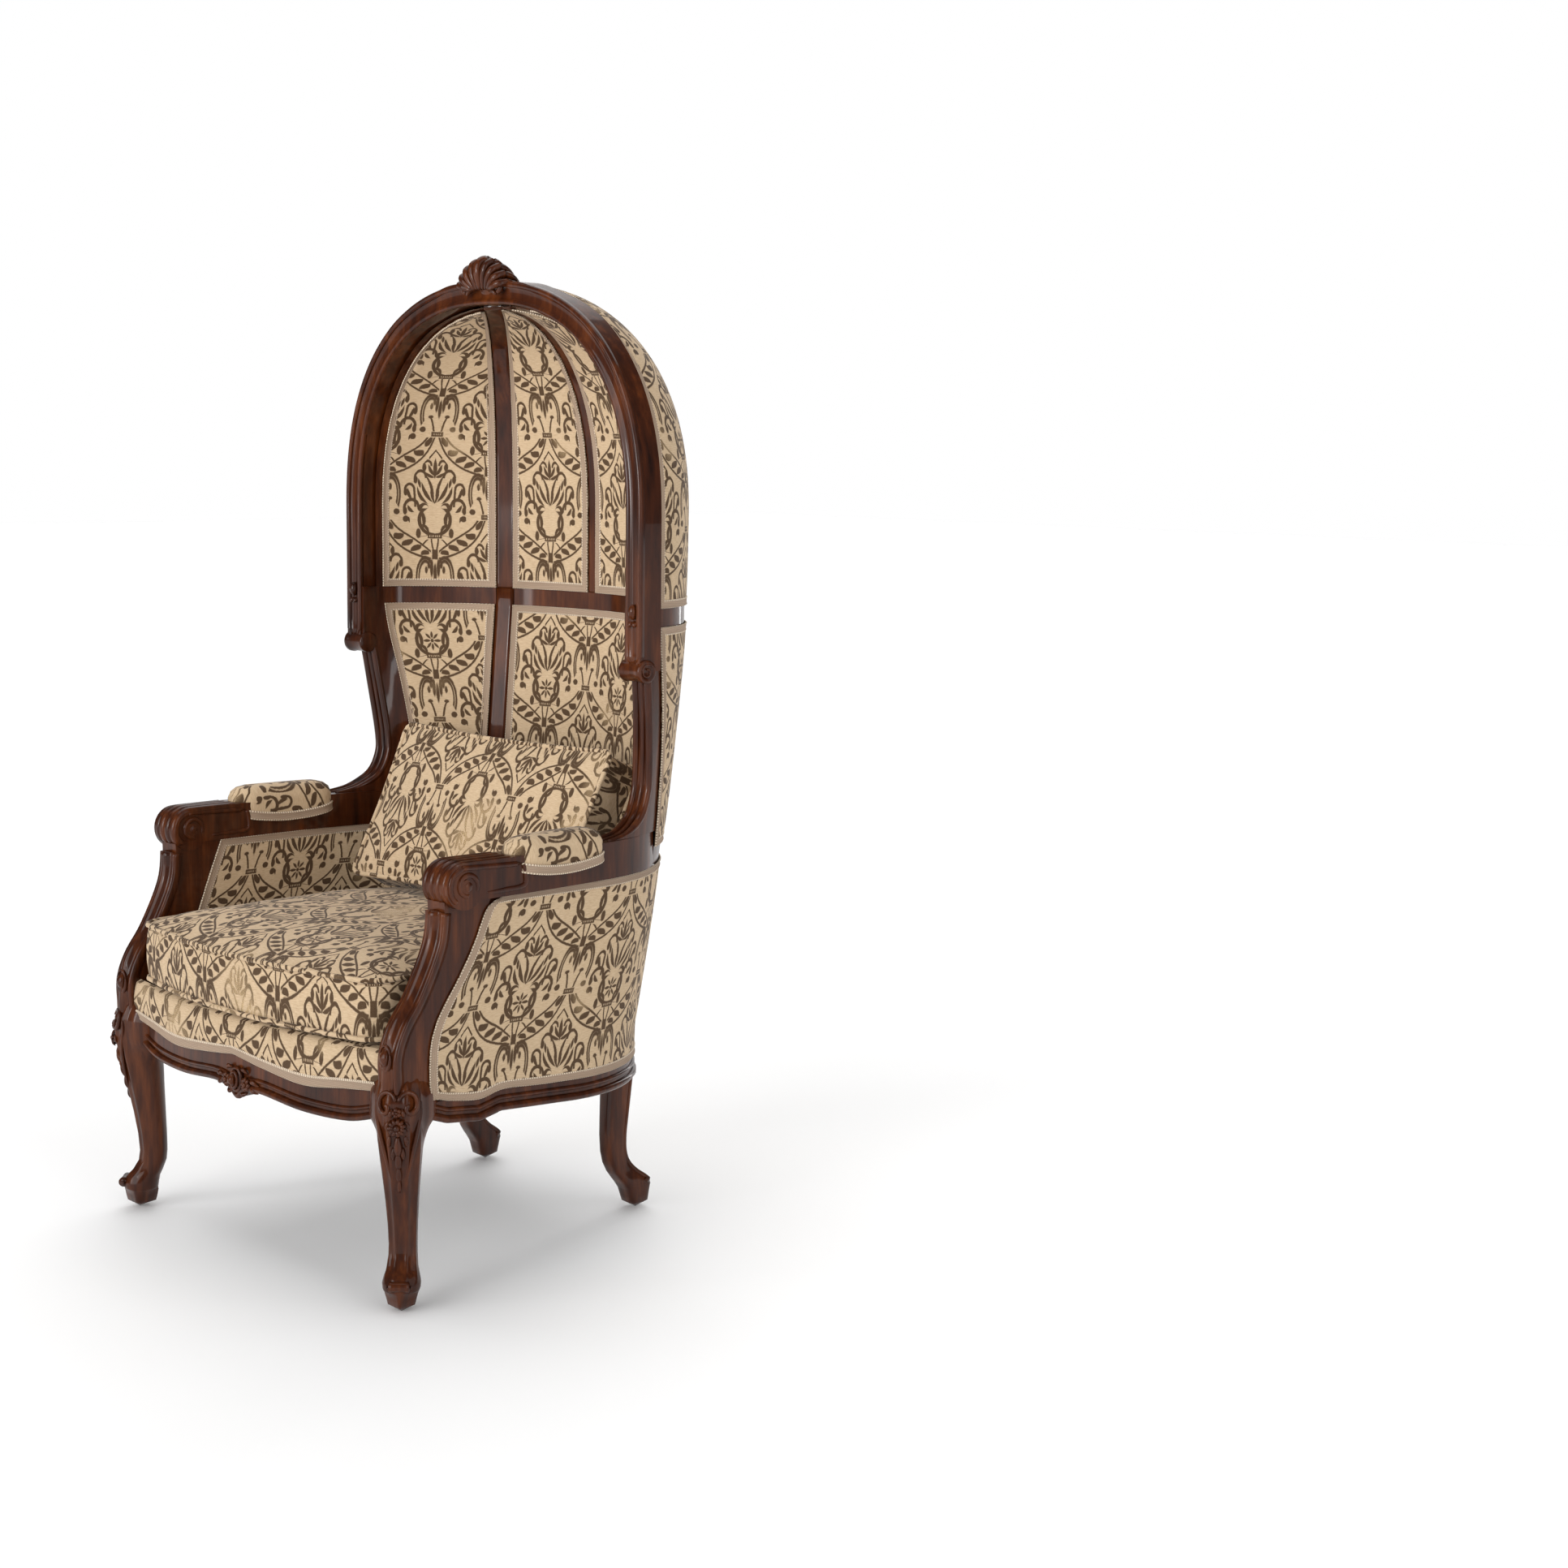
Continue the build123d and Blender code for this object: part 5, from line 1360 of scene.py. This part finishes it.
# Armrests: four reeds run forward from the pads and roll over the volutes.
# The sides have a bead round a flat panel, and a hooked scroll with a round eye.
VOLUTE_Y = -0.244
VOLUTE_Z = 0.647
VOLUTE_RADIUS = 0.036
ARM_TOP = 0.683
REED_START_Y = -0.135
REED_SINK = 0.0045
REED_LEAN = 0.004
for name, side in SIDES:
    bm = bmesh.new()
    outward = Vector((side, 0, 0))
    for x, radius in ((0.3548, 0.0072), (0.3700, 0.0078), (0.3855, 0.0078), (0.4000, 0.0066)):
        path = []
        for share in (0, 0.2, 0.4, 0.6, 0.8):
            y = REED_START_Y + (VOLUTE_Y - REED_START_Y) * share
            path.append(Vector((side * (x - REED_LEAN * share), y, ARM_TOP - REED_SINK)))
        for k in range(29):
            turn = math.pi / 2 + math.radians(142) * k / 28
            reach = VOLUTE_RADIUS - REED_SINK - 0.0005 * k / 28
            y, z = VOLUTE_Y + reach * math.cos(turn), VOLUTE_Z + reach * math.sin(turn)
            path.append(Vector((side * (x - REED_LEAN), y, z)))
        rod(bm, path, radius, 12, outward, [0.7, 1, 1, 1, 1] + [1] * 25 + [0.95, 0.85, 0.7, 0.5], 0.95)
    for face_x, away in ((0.4055, 1), (0.3485, -1)):
        up = outward * away
        eye = (side * face_x, VOLUTE_Y + 0.004, VOLUTE_Z)
        rim = [(side * face_x, -0.132, 0.6715), (side * face_x, -0.19, 0.6735)]
        for k in range(13):
            turn = math.radians(90 + 12 * k)
            rim.append((side * face_x, VOLUTE_Y + 0.029 * math.cos(turn), VOLUTE_Z + 0.0285 * math.sin(turn)))
        rod(bm, smooth_path(rim, 3), 0.0046, 8, up)
        low = smooth_path([(side * face_x, y, z) for y, z in (
            (-0.132, 0.6715), (-0.128, 0.655), (-0.131, 0.6375), (-0.17, 0.6345), (-0.205, 0.6335))], 6)
        rod(bm, low, 0.0042, 8, up, [1] * (len(low) - 8) + [1 - 0.07 * k for k in range(8)])
        curl = spiral(eye, 0.0195, 0.0135, -0.5, 0.86)
        rod(bm, curl, 0.0046, 10, up, [0.5 + 0.5 * min(k / 8, 1) for k in range(41)], 0.9)
        button = [Vector(eye) + up * lift for lift in (-0.002, 0.002, 0.0042, 0.0052)]
        rod(bm, button, 0.0082, 16, UPWARD, [1, 1, 0.8, 0.45])
    wooden(f"armrest_reeding_{name}", bm)

# Arm supports: S-shaped, with a strong round ridge between two hollows down their front.
# At the foot the ridge dies away behind an oval cabochon with a crescent round it.
SUPPORT_FRONT = (
    (-0.3625, 0.342), (-0.363, 0.360), (-0.363, 0.399), (-0.347, 0.440), (-0.3147, 0.487), (-0.2807, 0.558),
    (-0.2735, 0.612),
)
SUPPORT_X = 0.371
CABOCHON_Z = 0.397
RIDGE_FOOT = 0.0045
# The crescent's strokes: the turns that they pass, their width, and how their ends taper
STROKES = (((0, 0.4, 0.8, 1.2, 1.6, 2.0), 0.0032, (1, 0.3)), ((1.9, 2.3, 2.7, 3.14), 0.0022, (0.4, 1)))
# Across the face from its middle, and forward of it
RIDGE_SECTION = (
    (-0.0225, -0.012), (-0.0228, 0.002), (-0.020, 0.0045), (-0.0165, 0.004), (-0.0135, 0.0022),
    (-0.0105, 0.0045), (-0.0075, 0.0088), (-0.0035, 0.0116), (0, 0.0124), (0.0035, 0.0116),
    (0.0075, 0.0088), (0.0105, 0.0045), (0.0135, 0.0022), (0.0165, 0.004), (0.020, 0.0045), (0.0228, 0.002),
    (0.0225, -0.012),
)
for name, side in SIDES:
    bm = bmesh.new()
    path = smooth_path([(side * SUPPORT_X, y, z) for y, z in SUPPORT_FRONT], 8)
    rings = []
    for index, point in enumerate(path):
        ahead = (path[min(index + 1, len(path) - 1)] - path[max(index - 1, 0)]).normalized()
        forward = Vector((0, -ahead.z, ahead.y)).normalized()
        open_share = max(0, 1 - abs(point.z - 0.392) / 0.034)
        ring_points = []
        for across, rise in RIDGE_SECTION:
            ridge = max(rise - RIDGE_FOOT, 0) * (1 - 0.75 * open_share)
            out = min(rise, RIDGE_FOOT) + ridge
            ring_points.append(point + Vector((side * across, 0, 0)) + forward * out)
        rings.append(ring_points)
    rings_mesh(bm, rings)
    middle_x = side * SUPPORT_X
    cabochon = [(middle_x, -0.3655, 0.4115), (middle_x, -0.3712, CABOCHON_Z), (middle_x, -0.3675, 0.3825)]
    drop(bm, cabochon, 0.0092, FORWARD, 0.75, (0.25, 0.25), 16, 7)
    for mirror in (-1, 1):
        for turns, wide, ends in STROKES:
            stroke = []
            for turn in turns:
                x, z = middle_x + mirror * 0.0125 * math.sin(turn), CABOCHON_Z - 0.0195 * math.cos(turn)
                stroke.append((x, -0.3695, z))
            drop(bm, stroke, wide, FORWARD, 1, ends)
    wooden(f"support_ridge_{name}", bm)

# Front legs: cabriole legs with carved knees, moulded down their length, on scroll toes and tapered blocks.
# Each knee has a heart of two scrolls, a daisy and a drop of bellflowers.
LEG_X = 0.363
LEG_Y = -0.334
DIAGONAL = 0.5 ** 0.5
LEG_FRONT_SHARE = 0.93
# Height, how far the middle leans out along the diagonal, and the radius
LEG_STATIONS = (
    (0.376, -0.008, 0.0250), (0.366, -0.0035, 0.0305), (0.354, 0.0015, 0.0365), (0.335, 0.0075, 0.0402),
    (0.315, 0.0080, 0.0410), (0.295, 0.0062, 0.0408), (0.27, 0.0030, 0.0395), (0.24, -0.0015, 0.0366),
    (0.21, -0.005, 0.0332), (0.17, -0.0098, 0.0292), (0.13, -0.0138, 0.0262), (0.10, -0.0152, 0.0250),
    (0.083, -0.0132, 0.0254), (0.066, -0.005, 0.0276), (0.054, 0.0045, 0.0306), (0.044, 0.0085, 0.0318),
    (0.036, 0.0090, 0.0310), (0.030, 0.0086, 0.0292), (0.0, 0.0085, 0.0212),
)
# Turns from the diagonal in degrees, and shares of the radius there
LEG_SECTION = (
    (0, 0.93), (9, 0.92), (15, 0.95), (20, 1.0), (25, 0.985), (31, 0.9), (40, 0.875), (48, 0.9),
    (54, 0.965), (60, 0.97), (67, 0.89), (80, 0.85), (100, 0.85), (120, 0.88), (135, 0.93), (150, 0.88),
    (165, 0.85), (180, 0.86),
)


def between_stations(height):
    """How far the leg leans out at a height, and its radius there."""
    for high, low in zip(LEG_STATIONS, LEG_STATIONS[1:]):
        if height >= low[0]:
            share = clamped((high[0] - height) / (high[0] - low[0]))
            return high[1] + (low[1] - high[1]) * share, high[2] + (low[2] - high[2]) * share
    return LEG_STATIONS[-1][1:]


def knee_place(side, across, height, lift):
    """A point over the leg's front, at a distance across it, a height, and a lift off its surface."""
    lean, radius = between_stations(height)
    outward = Vector((side * DIAGONAL, -DIAGONAL, 0))
    beside = Vector((side * DIAGONAL, DIAGONAL, 0))
    face = math.sqrt(max((LEG_FRONT_SHARE * radius) ** 2 - across ** 2, 0))
    return Vector((side * LEG_X, LEG_Y, height)) + outward * (lean + face + lift) + beside * across


def flower(bm, place, outward, radius, petals, flat=0.55):
    """A round flower: petals about a bead."""
    across = outward.cross(UPWARD).normalized()
    up = across.cross(outward)
    for petal_index in range(petals):
        turn = 2 * math.pi * petal_index / petals
        ray = across * math.cos(turn) + up * math.sin(turn)
        stem = (place + ray * radius * 0.2, place + ray * radius * 0.65 + outward * radius * 0.16,
                place + ray * radius - outward * radius * 0.12)
        drop(bm, stem, radius * 2.5 / petals, outward, flat, (0.4, 0.35), 6, 3)
    bead = (place - up * radius * 0.28 + outward * radius * 0.12, place + outward * radius * 0.22,
            place + up * radius * 0.28 + outward * radius * 0.12)
    drop(bm, bead, radius * 0.34, outward, 0.9, (0.45, 0.45), 10, 3)


# Across the knee, and height
HEART_SCROLL = (
    (0.0015, 0.334), (0.007, 0.3435), (0.016, 0.3465), (0.0245, 0.342), (0.0285, 0.332), (0.027, 0.321),
    (0.0205, 0.3155), (0.0145, 0.319), (0.0145, 0.3265), (0.019, 0.328),
)
LONG_LEAF = (
    (0.032, 0.334), (0.0335, 0.314), (0.029, 0.288), (0.022, 0.256), (0.0155, 0.226), (0.010, 0.200),
)
# Each small leaf's place across the knee, its height, its length and how far it leans out
SMALL_LEAVES = (
    (0.0065, 0.3235, 0.014, 0.006), (0.0125, 0.305, 0.018, 0.006), (0.0115, 0.282, 0.02, 0.003),
    (0.0065, 0.262, 0.022, 0.001),
)
# Each bellflower's top, foot and width
BELLFLOWERS = (
    (0.281, 0.247, 0.0062), (0.257, 0.226, 0.0054), (0.232, 0.205, 0.0042), (0.211, 0.188, 0.003),
)
for name, side in SIDES:
    outward = Vector((side * DIAGONAL, -DIAGONAL, 0))
    beside = Vector((side * DIAGONAL, DIAGONAL, 0))
    bm = bmesh.new()
    rings = []
    fine = []
    for (high, *_), (low, *_) in zip(LEG_STATIONS, LEG_STATIONS[1:]):
        fine += [high + (low - high) * k / 3 for k in range(3)]
    for height in fine + [0.0]:
        lean, radius = between_stations(height)
        ridged = clamped((height - 0.046) / 0.02)
        block = clamped((0.034 - height) / 0.006)
        ring_points = []
        for turn, share in LEG_SECTION + tuple((360 - turn, share) for turn, share in LEG_SECTION[-2:0:-1]):
            angle = math.radians(turn)
            square = 0.9 / max(abs(math.cos(angle + math.pi / 4)), abs(math.sin(angle + math.pi / 4))) * 0.8
            moulded = LEG_FRONT_SHARE + (share - LEG_FRONT_SHARE) * ridged
            reach = radius * (moulded * (1 - block) + square * block)
            near_rail = max(0, 1 - abs(abs((turn + 180) % 360 - 180) - 128) / 62)
            reach *= 1 + 0.75 * (clamped((height - 0.243) / 0.055) ** 2 * near_rail)
            ahead = outward * (lean + reach * math.cos(angle))
            aside = beside * (reach * math.sin(angle))
            ring_points.append(Vector((side * LEG_X, LEG_Y, height)) + ahead + aside)
        rings.append(ring_points)
    rings_mesh(bm, rings)
    # The toe's roll
    toe = knee_place(side, 0, 0.045, -0.0015)
    roll = [toe + beside * (0.017 * share) for share in (-1, -0.9, -0.6, 0, 0.6, 0.9, 1)]
    rod(bm, roll, 0.0088, 14, UPWARD, [0.6, 0.95, 0.9, 0.88, 0.9, 0.95, 0.6])
    for end in (-1, 1):
        rod(bm, [toe + beside * end * d for d in (0.0168, 0.0186, 0.0194)], 0.0042, 10, UPWARD, [1, 0.9, 0.4])
    # The heart of two scrolls and the leaves beside it
    for mirror in (-1, 1):
        for line, lift, wide, ends in (
            (HEART_SCROLL, 0.0025, 0.0042, (0.6, 0.7)),
            (LONG_LEAF, 0.0012, 0.0034, (0.7, 0.2)),
        ):
            stem = [knee_place(side, mirror * a, z, lift) for a, z in line]
            drop(bm, stem, wide, outward, 0.9, ends, 8, 4)
        for a, z, length, lean_out in SMALL_LEAVES:
            stem = [knee_place(side, mirror * (a + lean_out * out), z - length * down, lift)
                    for out, down, lift in ((0, 0, 0.0008), (0.5, 0.5, 0.0035), (0.3, 1, 0.0008))]
            drop(bm, stem, 0.0038, outward, 0.8, (0.3, 0.2))
    flower(bm, knee_place(side, 0, 0.318, 0.004), outward, 0.0075, 5)
    flower(bm, knee_place(side, 0, 0.295, 0.0055), outward, 0.0145, 11)
    for top, foot, wide in BELLFLOWERS:
        stem = [knee_place(side, 0, height, lift)
                for height, lift in ((top, 0.0015), ((top + foot) / 2 - 0.003, 0.004), (foot, 0.001))]
        drop(bm, stem, wide, outward, 0.9, (0.3, 0.35))
    wooden(f"front_leg_carved_{name}", bm, [f"front_leg_{name}"])

# Back legs: plain cabriole legs whose toes flare to the back over small tapered blocks.
# Each is one timber with the corner post above it.
WALL_DEPTH = 0.036
BACK_LEG_X = 0.187
BACK_LEG_Y = 0.252
POST_BOTTOM = 0.262
POST_TOP = 1.0495
# Height, how far out, front edge, back edge and half width, from the leg's middle
BACK_STATIONS = (
    (0.351, 0, -0.0225, 0.0225, 0.0222), (0.31, 0.0003, -0.0222, 0.0228, 0.0222),
    (0.28, 0.001, -0.0217, 0.0227, 0.0220), (0.24, 0.0025, -0.0235, 0.0200, 0.0210),
    (0.203, 0.004, -0.0262, 0.0150, 0.0200), (0.165, 0.0065, -0.0300, 0.0085, 0.0188),
    (0.133, 0.009, -0.0330, 0.0030, 0.0180), (0.105, 0.0115, -0.0335, 0.0020, 0.0176),
    (0.085, 0.0135, -0.0300, 0.0085, 0.0178), (0.068, 0.0155, -0.0220, 0.0240, 0.0186),
    (0.055, 0.0172, -0.0125, 0.0420, 0.0198), (0.047, 0.018, -0.0060, 0.0510, 0.0204),
    (0.0405, 0.0185, -0.0015, 0.0535, 0.0204), (0.035, 0.0188, 0.0020, 0.0520, 0.0198),
    (0.0, 0.020, 0.0125, 0.0460, 0.0160),
)
for name, side in SIDES:
    bm = bmesh.new()
    rings = []
    for high, low in zip(BACK_STATIONS, BACK_STATIONS[1:] + BACK_STATIONS[-1:]):
        for step in range(3 if low is not high else 1):
            height, out, front_edge, back_edge, half = (a + (b - a) * step / 3 for a, b in zip(high, low))
            ring_points = []
            for k in range(36):
                turn = 2 * math.pi * k / 36
                c, d = math.cos(turn), math.sin(turn)
                reach = (abs(c) ** 5 + abs(d) ** 5) ** (-1 / 5)
                middle, deep = (front_edge + back_edge) / 2, (back_edge - front_edge) / 2
                x, y = side * (BACK_LEG_X + out) + half * c * reach, BACK_LEG_Y + middle + deep * d * reach
                ring_points.append(Vector((x, y, height)))
            rings.append(ring_points)
    rings_mesh(bm, rings)
    bmesh.ops.recalc_face_normals(bm, faces=bm.faces)
    for mirror in (-1, 1):
        edge_line = [(side * (BACK_LEG_X + out) + mirror * (half - 0.0035), BACK_LEG_Y + back_edge - 0.0028,
                      height)
                     for height, out, front_edge, back_edge, half in BACK_STATIONS[1:-3]]
        rod(bm, smooth_path(edge_line, 4), 0.0042, 8, BACKWARD)
        toe_eye = Vector((side * (BACK_LEG_X + 0.018) + mirror * 0.0195, BACK_LEG_Y + 0.041, 0.0475))
        eye_line = [toe_eye + Vector((mirror * out, 0, 0)) for out in (-0.004, 0, 0.0022)]
        rod(bm, eye_line, 0.0075, 14, UPWARD, [1, 0.9, 0.6])
    post_rings = []
    for k in range(22):
        height = POST_BOTTOM + (POST_TOP - POST_BOTTOM) * k / 21
        wall_lines = []
        for inset in (0, WALL_DEPTH):
            first, last = (turn_at_post(height, inset, edge) for edge in (-1, 1))
            turns = [first + (last - first) * j / 4 for j in range(5)]
            wall_lines.append([body_point(side, turn, height, inset) for turn in turns])
        post_rings.append(wall_lines[0] + wall_lines[1][::-1])
    rings_mesh(bm, post_rings[:1] + post_rings + post_rings[-1:])
    wooden(f"back_leg_carved_{name}", bm, [f"back_leg_{name}"])

# Seat rails: a bead along the serpentine lower edge and a second one over it.
# They run round all four sides.
FRONT_BOTTOM = (
    (0.336, 0.299), (0.269, 0.2822), (0.168, 0.2796), (0.0672, 0.2875), (0.0235, 0.283), (0.0, 0.269),
)
SIDE_BOTTOM = (
    (-0.3074, 0.299), (-0.264, 0.284), (-0.2015, 0.2761), (-0.158, 0.284), (0.003, 0.2726),
    (0.1895, 0.2646), (0.262, 0.262),
)


def front_face(x):
    """The front rail's face, across the chair."""
    return -0.383 + front_bow(x)


# Each bead's height over the edge, its radius, and how far it stands proud
BEADS = ((0.0035, 0.0062, 0.001), (0.0185, 0.0040, 0.0004))
bm = bmesh.new()
front_points = [(-x, z) for x, z in FRONT_BOTTOM] + [(x, z) for x, z in reversed(FRONT_BOTTOM[:-1])]
for lift, radius, proud in ((0.0035, 0.0058, 0.001), (0.0175, 0.0036, 0.0004)):
    path = smooth_path([(x, front_face(x) - proud, z + lift) for x, z in front_points], 8)
    rod(bm, path, radius, 10, FORWARD)
wooden("front_rail_beads", bm)
for name, side in SIDES:
    bm = bmesh.new()
    for lift, radius, proud in BEADS:
        line = []
        for (y0, z0), (y1, z1) in zip(SIDE_BOTTOM, SIDE_BOTTOM[1:]):
            for k in range(4):
                y, z = y0 + (y1 - y0) * k / 4, z0 + (z1 - z0) * k / 4
                line.append(body_point(side, turn_at_y(z, -proud, y), z + lift, -proud))
        rod(bm, smooth_path(line, 2), radius, 10, Vector((side, 0, 0)))
    wooden(f"side_rail_beads_{name}", bm)
bm = bmesh.new()
for lift, radius, proud in BEADS:
    line = []
    for k in range(33):
        turn = math.radians(62) + math.radians(56) * k / 32
        wave = 0.006 * math.cos(4 * math.pi * (k / 32 - 0.5))
        point = body_point(1, min(turn, math.pi - turn), 0.264 + lift + wave * 0.3, -proud)
        line.append(Vector((point.x if turn < math.pi / 2 else -point.x, point.y, point.z)))
    rod(bm, line, radius, 10, BACKWARD)
wooden("back_rail_beads", bm)

# Apron carving: an oval cartouche, two rings about a bead, in the middle of the front rail.
# It stands between two rosettes with trailing leaves.
CARTOUCHE_Z = 0.299
# Each leaf's three points, across and up, and its width
APRON_LEAVES = (
    ((0.037, 0.298), (0.046, 0.302), (0.058, 0.295), 0.0042),
    ((0.037, 0.291), (0.046, 0.288), (0.056, 0.284), 0.0038),
    ((0.012, 0.316), (0.021, 0.318), (0.029, 0.311), 0.0036),
    ((0.010, 0.281), (0.019, 0.277), (0.028, 0.281), 0.0034),
)


def apron_place(x, z, lift):
    """A point in front of the rail's face."""
    return Vector((x, front_face(x) - lift, z))


bm = bmesh.new()
for wide, high, lift, size in ((0.0135, 0.0185, 0.004, 0.0036), (0.0085, 0.0125, 0.009, 0.0028)):
    turns = [2 * math.pi * k / 24 for k in range(24)]
    line = [apron_place(wide * math.cos(turn), CARTOUCHE_Z + high * math.sin(turn), lift) for turn in turns]
    sweep(bm, line, round_section(size), FORWARD, closed=True)
bead = [apron_place(0, z, lift) for z, lift in ((0.3085, 0.007), (CARTOUCHE_Z, 0.0145), (0.2895, 0.007))]
drop(bm, bead, 0.0066, FORWARD, 0.9, (0.3, 0.3), 12)
for mirror in (-1, 1):
    flower(bm, apron_place(mirror * 0.027, 0.295, 0.005), FORWARD, 0.0125, 8, 0.7)
    for *points, wide in APRON_LEAVES:
        stem = [apron_place(mirror * x, z, lift) for (x, z), lift in zip(points, (0.002, 0.006, 0.001))]
        drop(bm, stem, wide, FORWARD, 0.8)
wooden("apron_carving", bm, ["apron_boss"])

# Crest: a shell of ribs that spring from the top of the arch.
# They roll over backwards to a round back, between two leaves and two curls.
LOBES = 9
# Shares of a rib's length, how far back, and how far down
ROLL_OVER = (
    (0, 0, 0), (0.3, -0.005, 0), (0.6, -0.007, 0), (0.85, -0.003, 0), (0.97, 0.009, 0),
    (0.96, 0.022, 0.003), (0.86, 0.036, 0.008), (0.66, 0.047, 0.010), (0.4, 0.052, 0.010),
)
CREST_CURL = (
    (0.022, 0.112, 1.573), (0.036, 0.112, 1.573), (0.046, 0.113, 1.568), (0.047, 0.113, 1.560),
    (0.040, 0.112, 1.558),
)
CREST_LEAF = ((0.012, 0.1115, 1.566), (0.028, 0.110, 1.562), (0.040, 0.1115, 1.552))
bm = bmesh.new()
for lobe in range(LOBES):
    tilt = math.radians(150) * (lobe / (LOBES - 1) - 0.5)
    long = 0.046 + 0.006 * math.cos(tilt) ** 2
    root = Vector((0.022 * math.sin(tilt), 0.110, 1.5605))
    ray = Vector((math.sin(tilt) * 0.82, 0, math.cos(tilt)))
    path = smooth_path([root + ray * (long * reach) + Vector((0, back, -down * math.cos(tilt)))
                        for reach, back, down in ROLL_OVER], 3)
    sizes = [0.55 + 0.45 * min(k / 7, 1) if k < 14 else 1 - 0.045 * (k - 13) for k in range(len(path))]
    rod(bm, path, 0.0086 if lobe == LOBES // 2 else 0.0066, 10, FORWARD, sizes, 0.9)
for mirror in (-1, 1):
    for line, wide, ends, sides in (
        (CREST_CURL, 0.0062, (0.8, 0.6), 10),
        (CREST_LEAF, 0.0048, (0.8, 0.3), 8),
    ):
        drop(bm, [(mirror * x, y, z) for x, y, z in line], wide, FORWARD, 1, ends, sides, 4)
crown = Matrix.Translation((0, 0.140, 1.573)) @ Matrix.Diagonal((0.039, 0.022, 0.037, 1))
bmesh.ops.create_uvsphere(bm, u_segments=24, v_segments=14, radius=1, matrix=crown)
wooden("crest_shell", bm, ["crest_carving"])
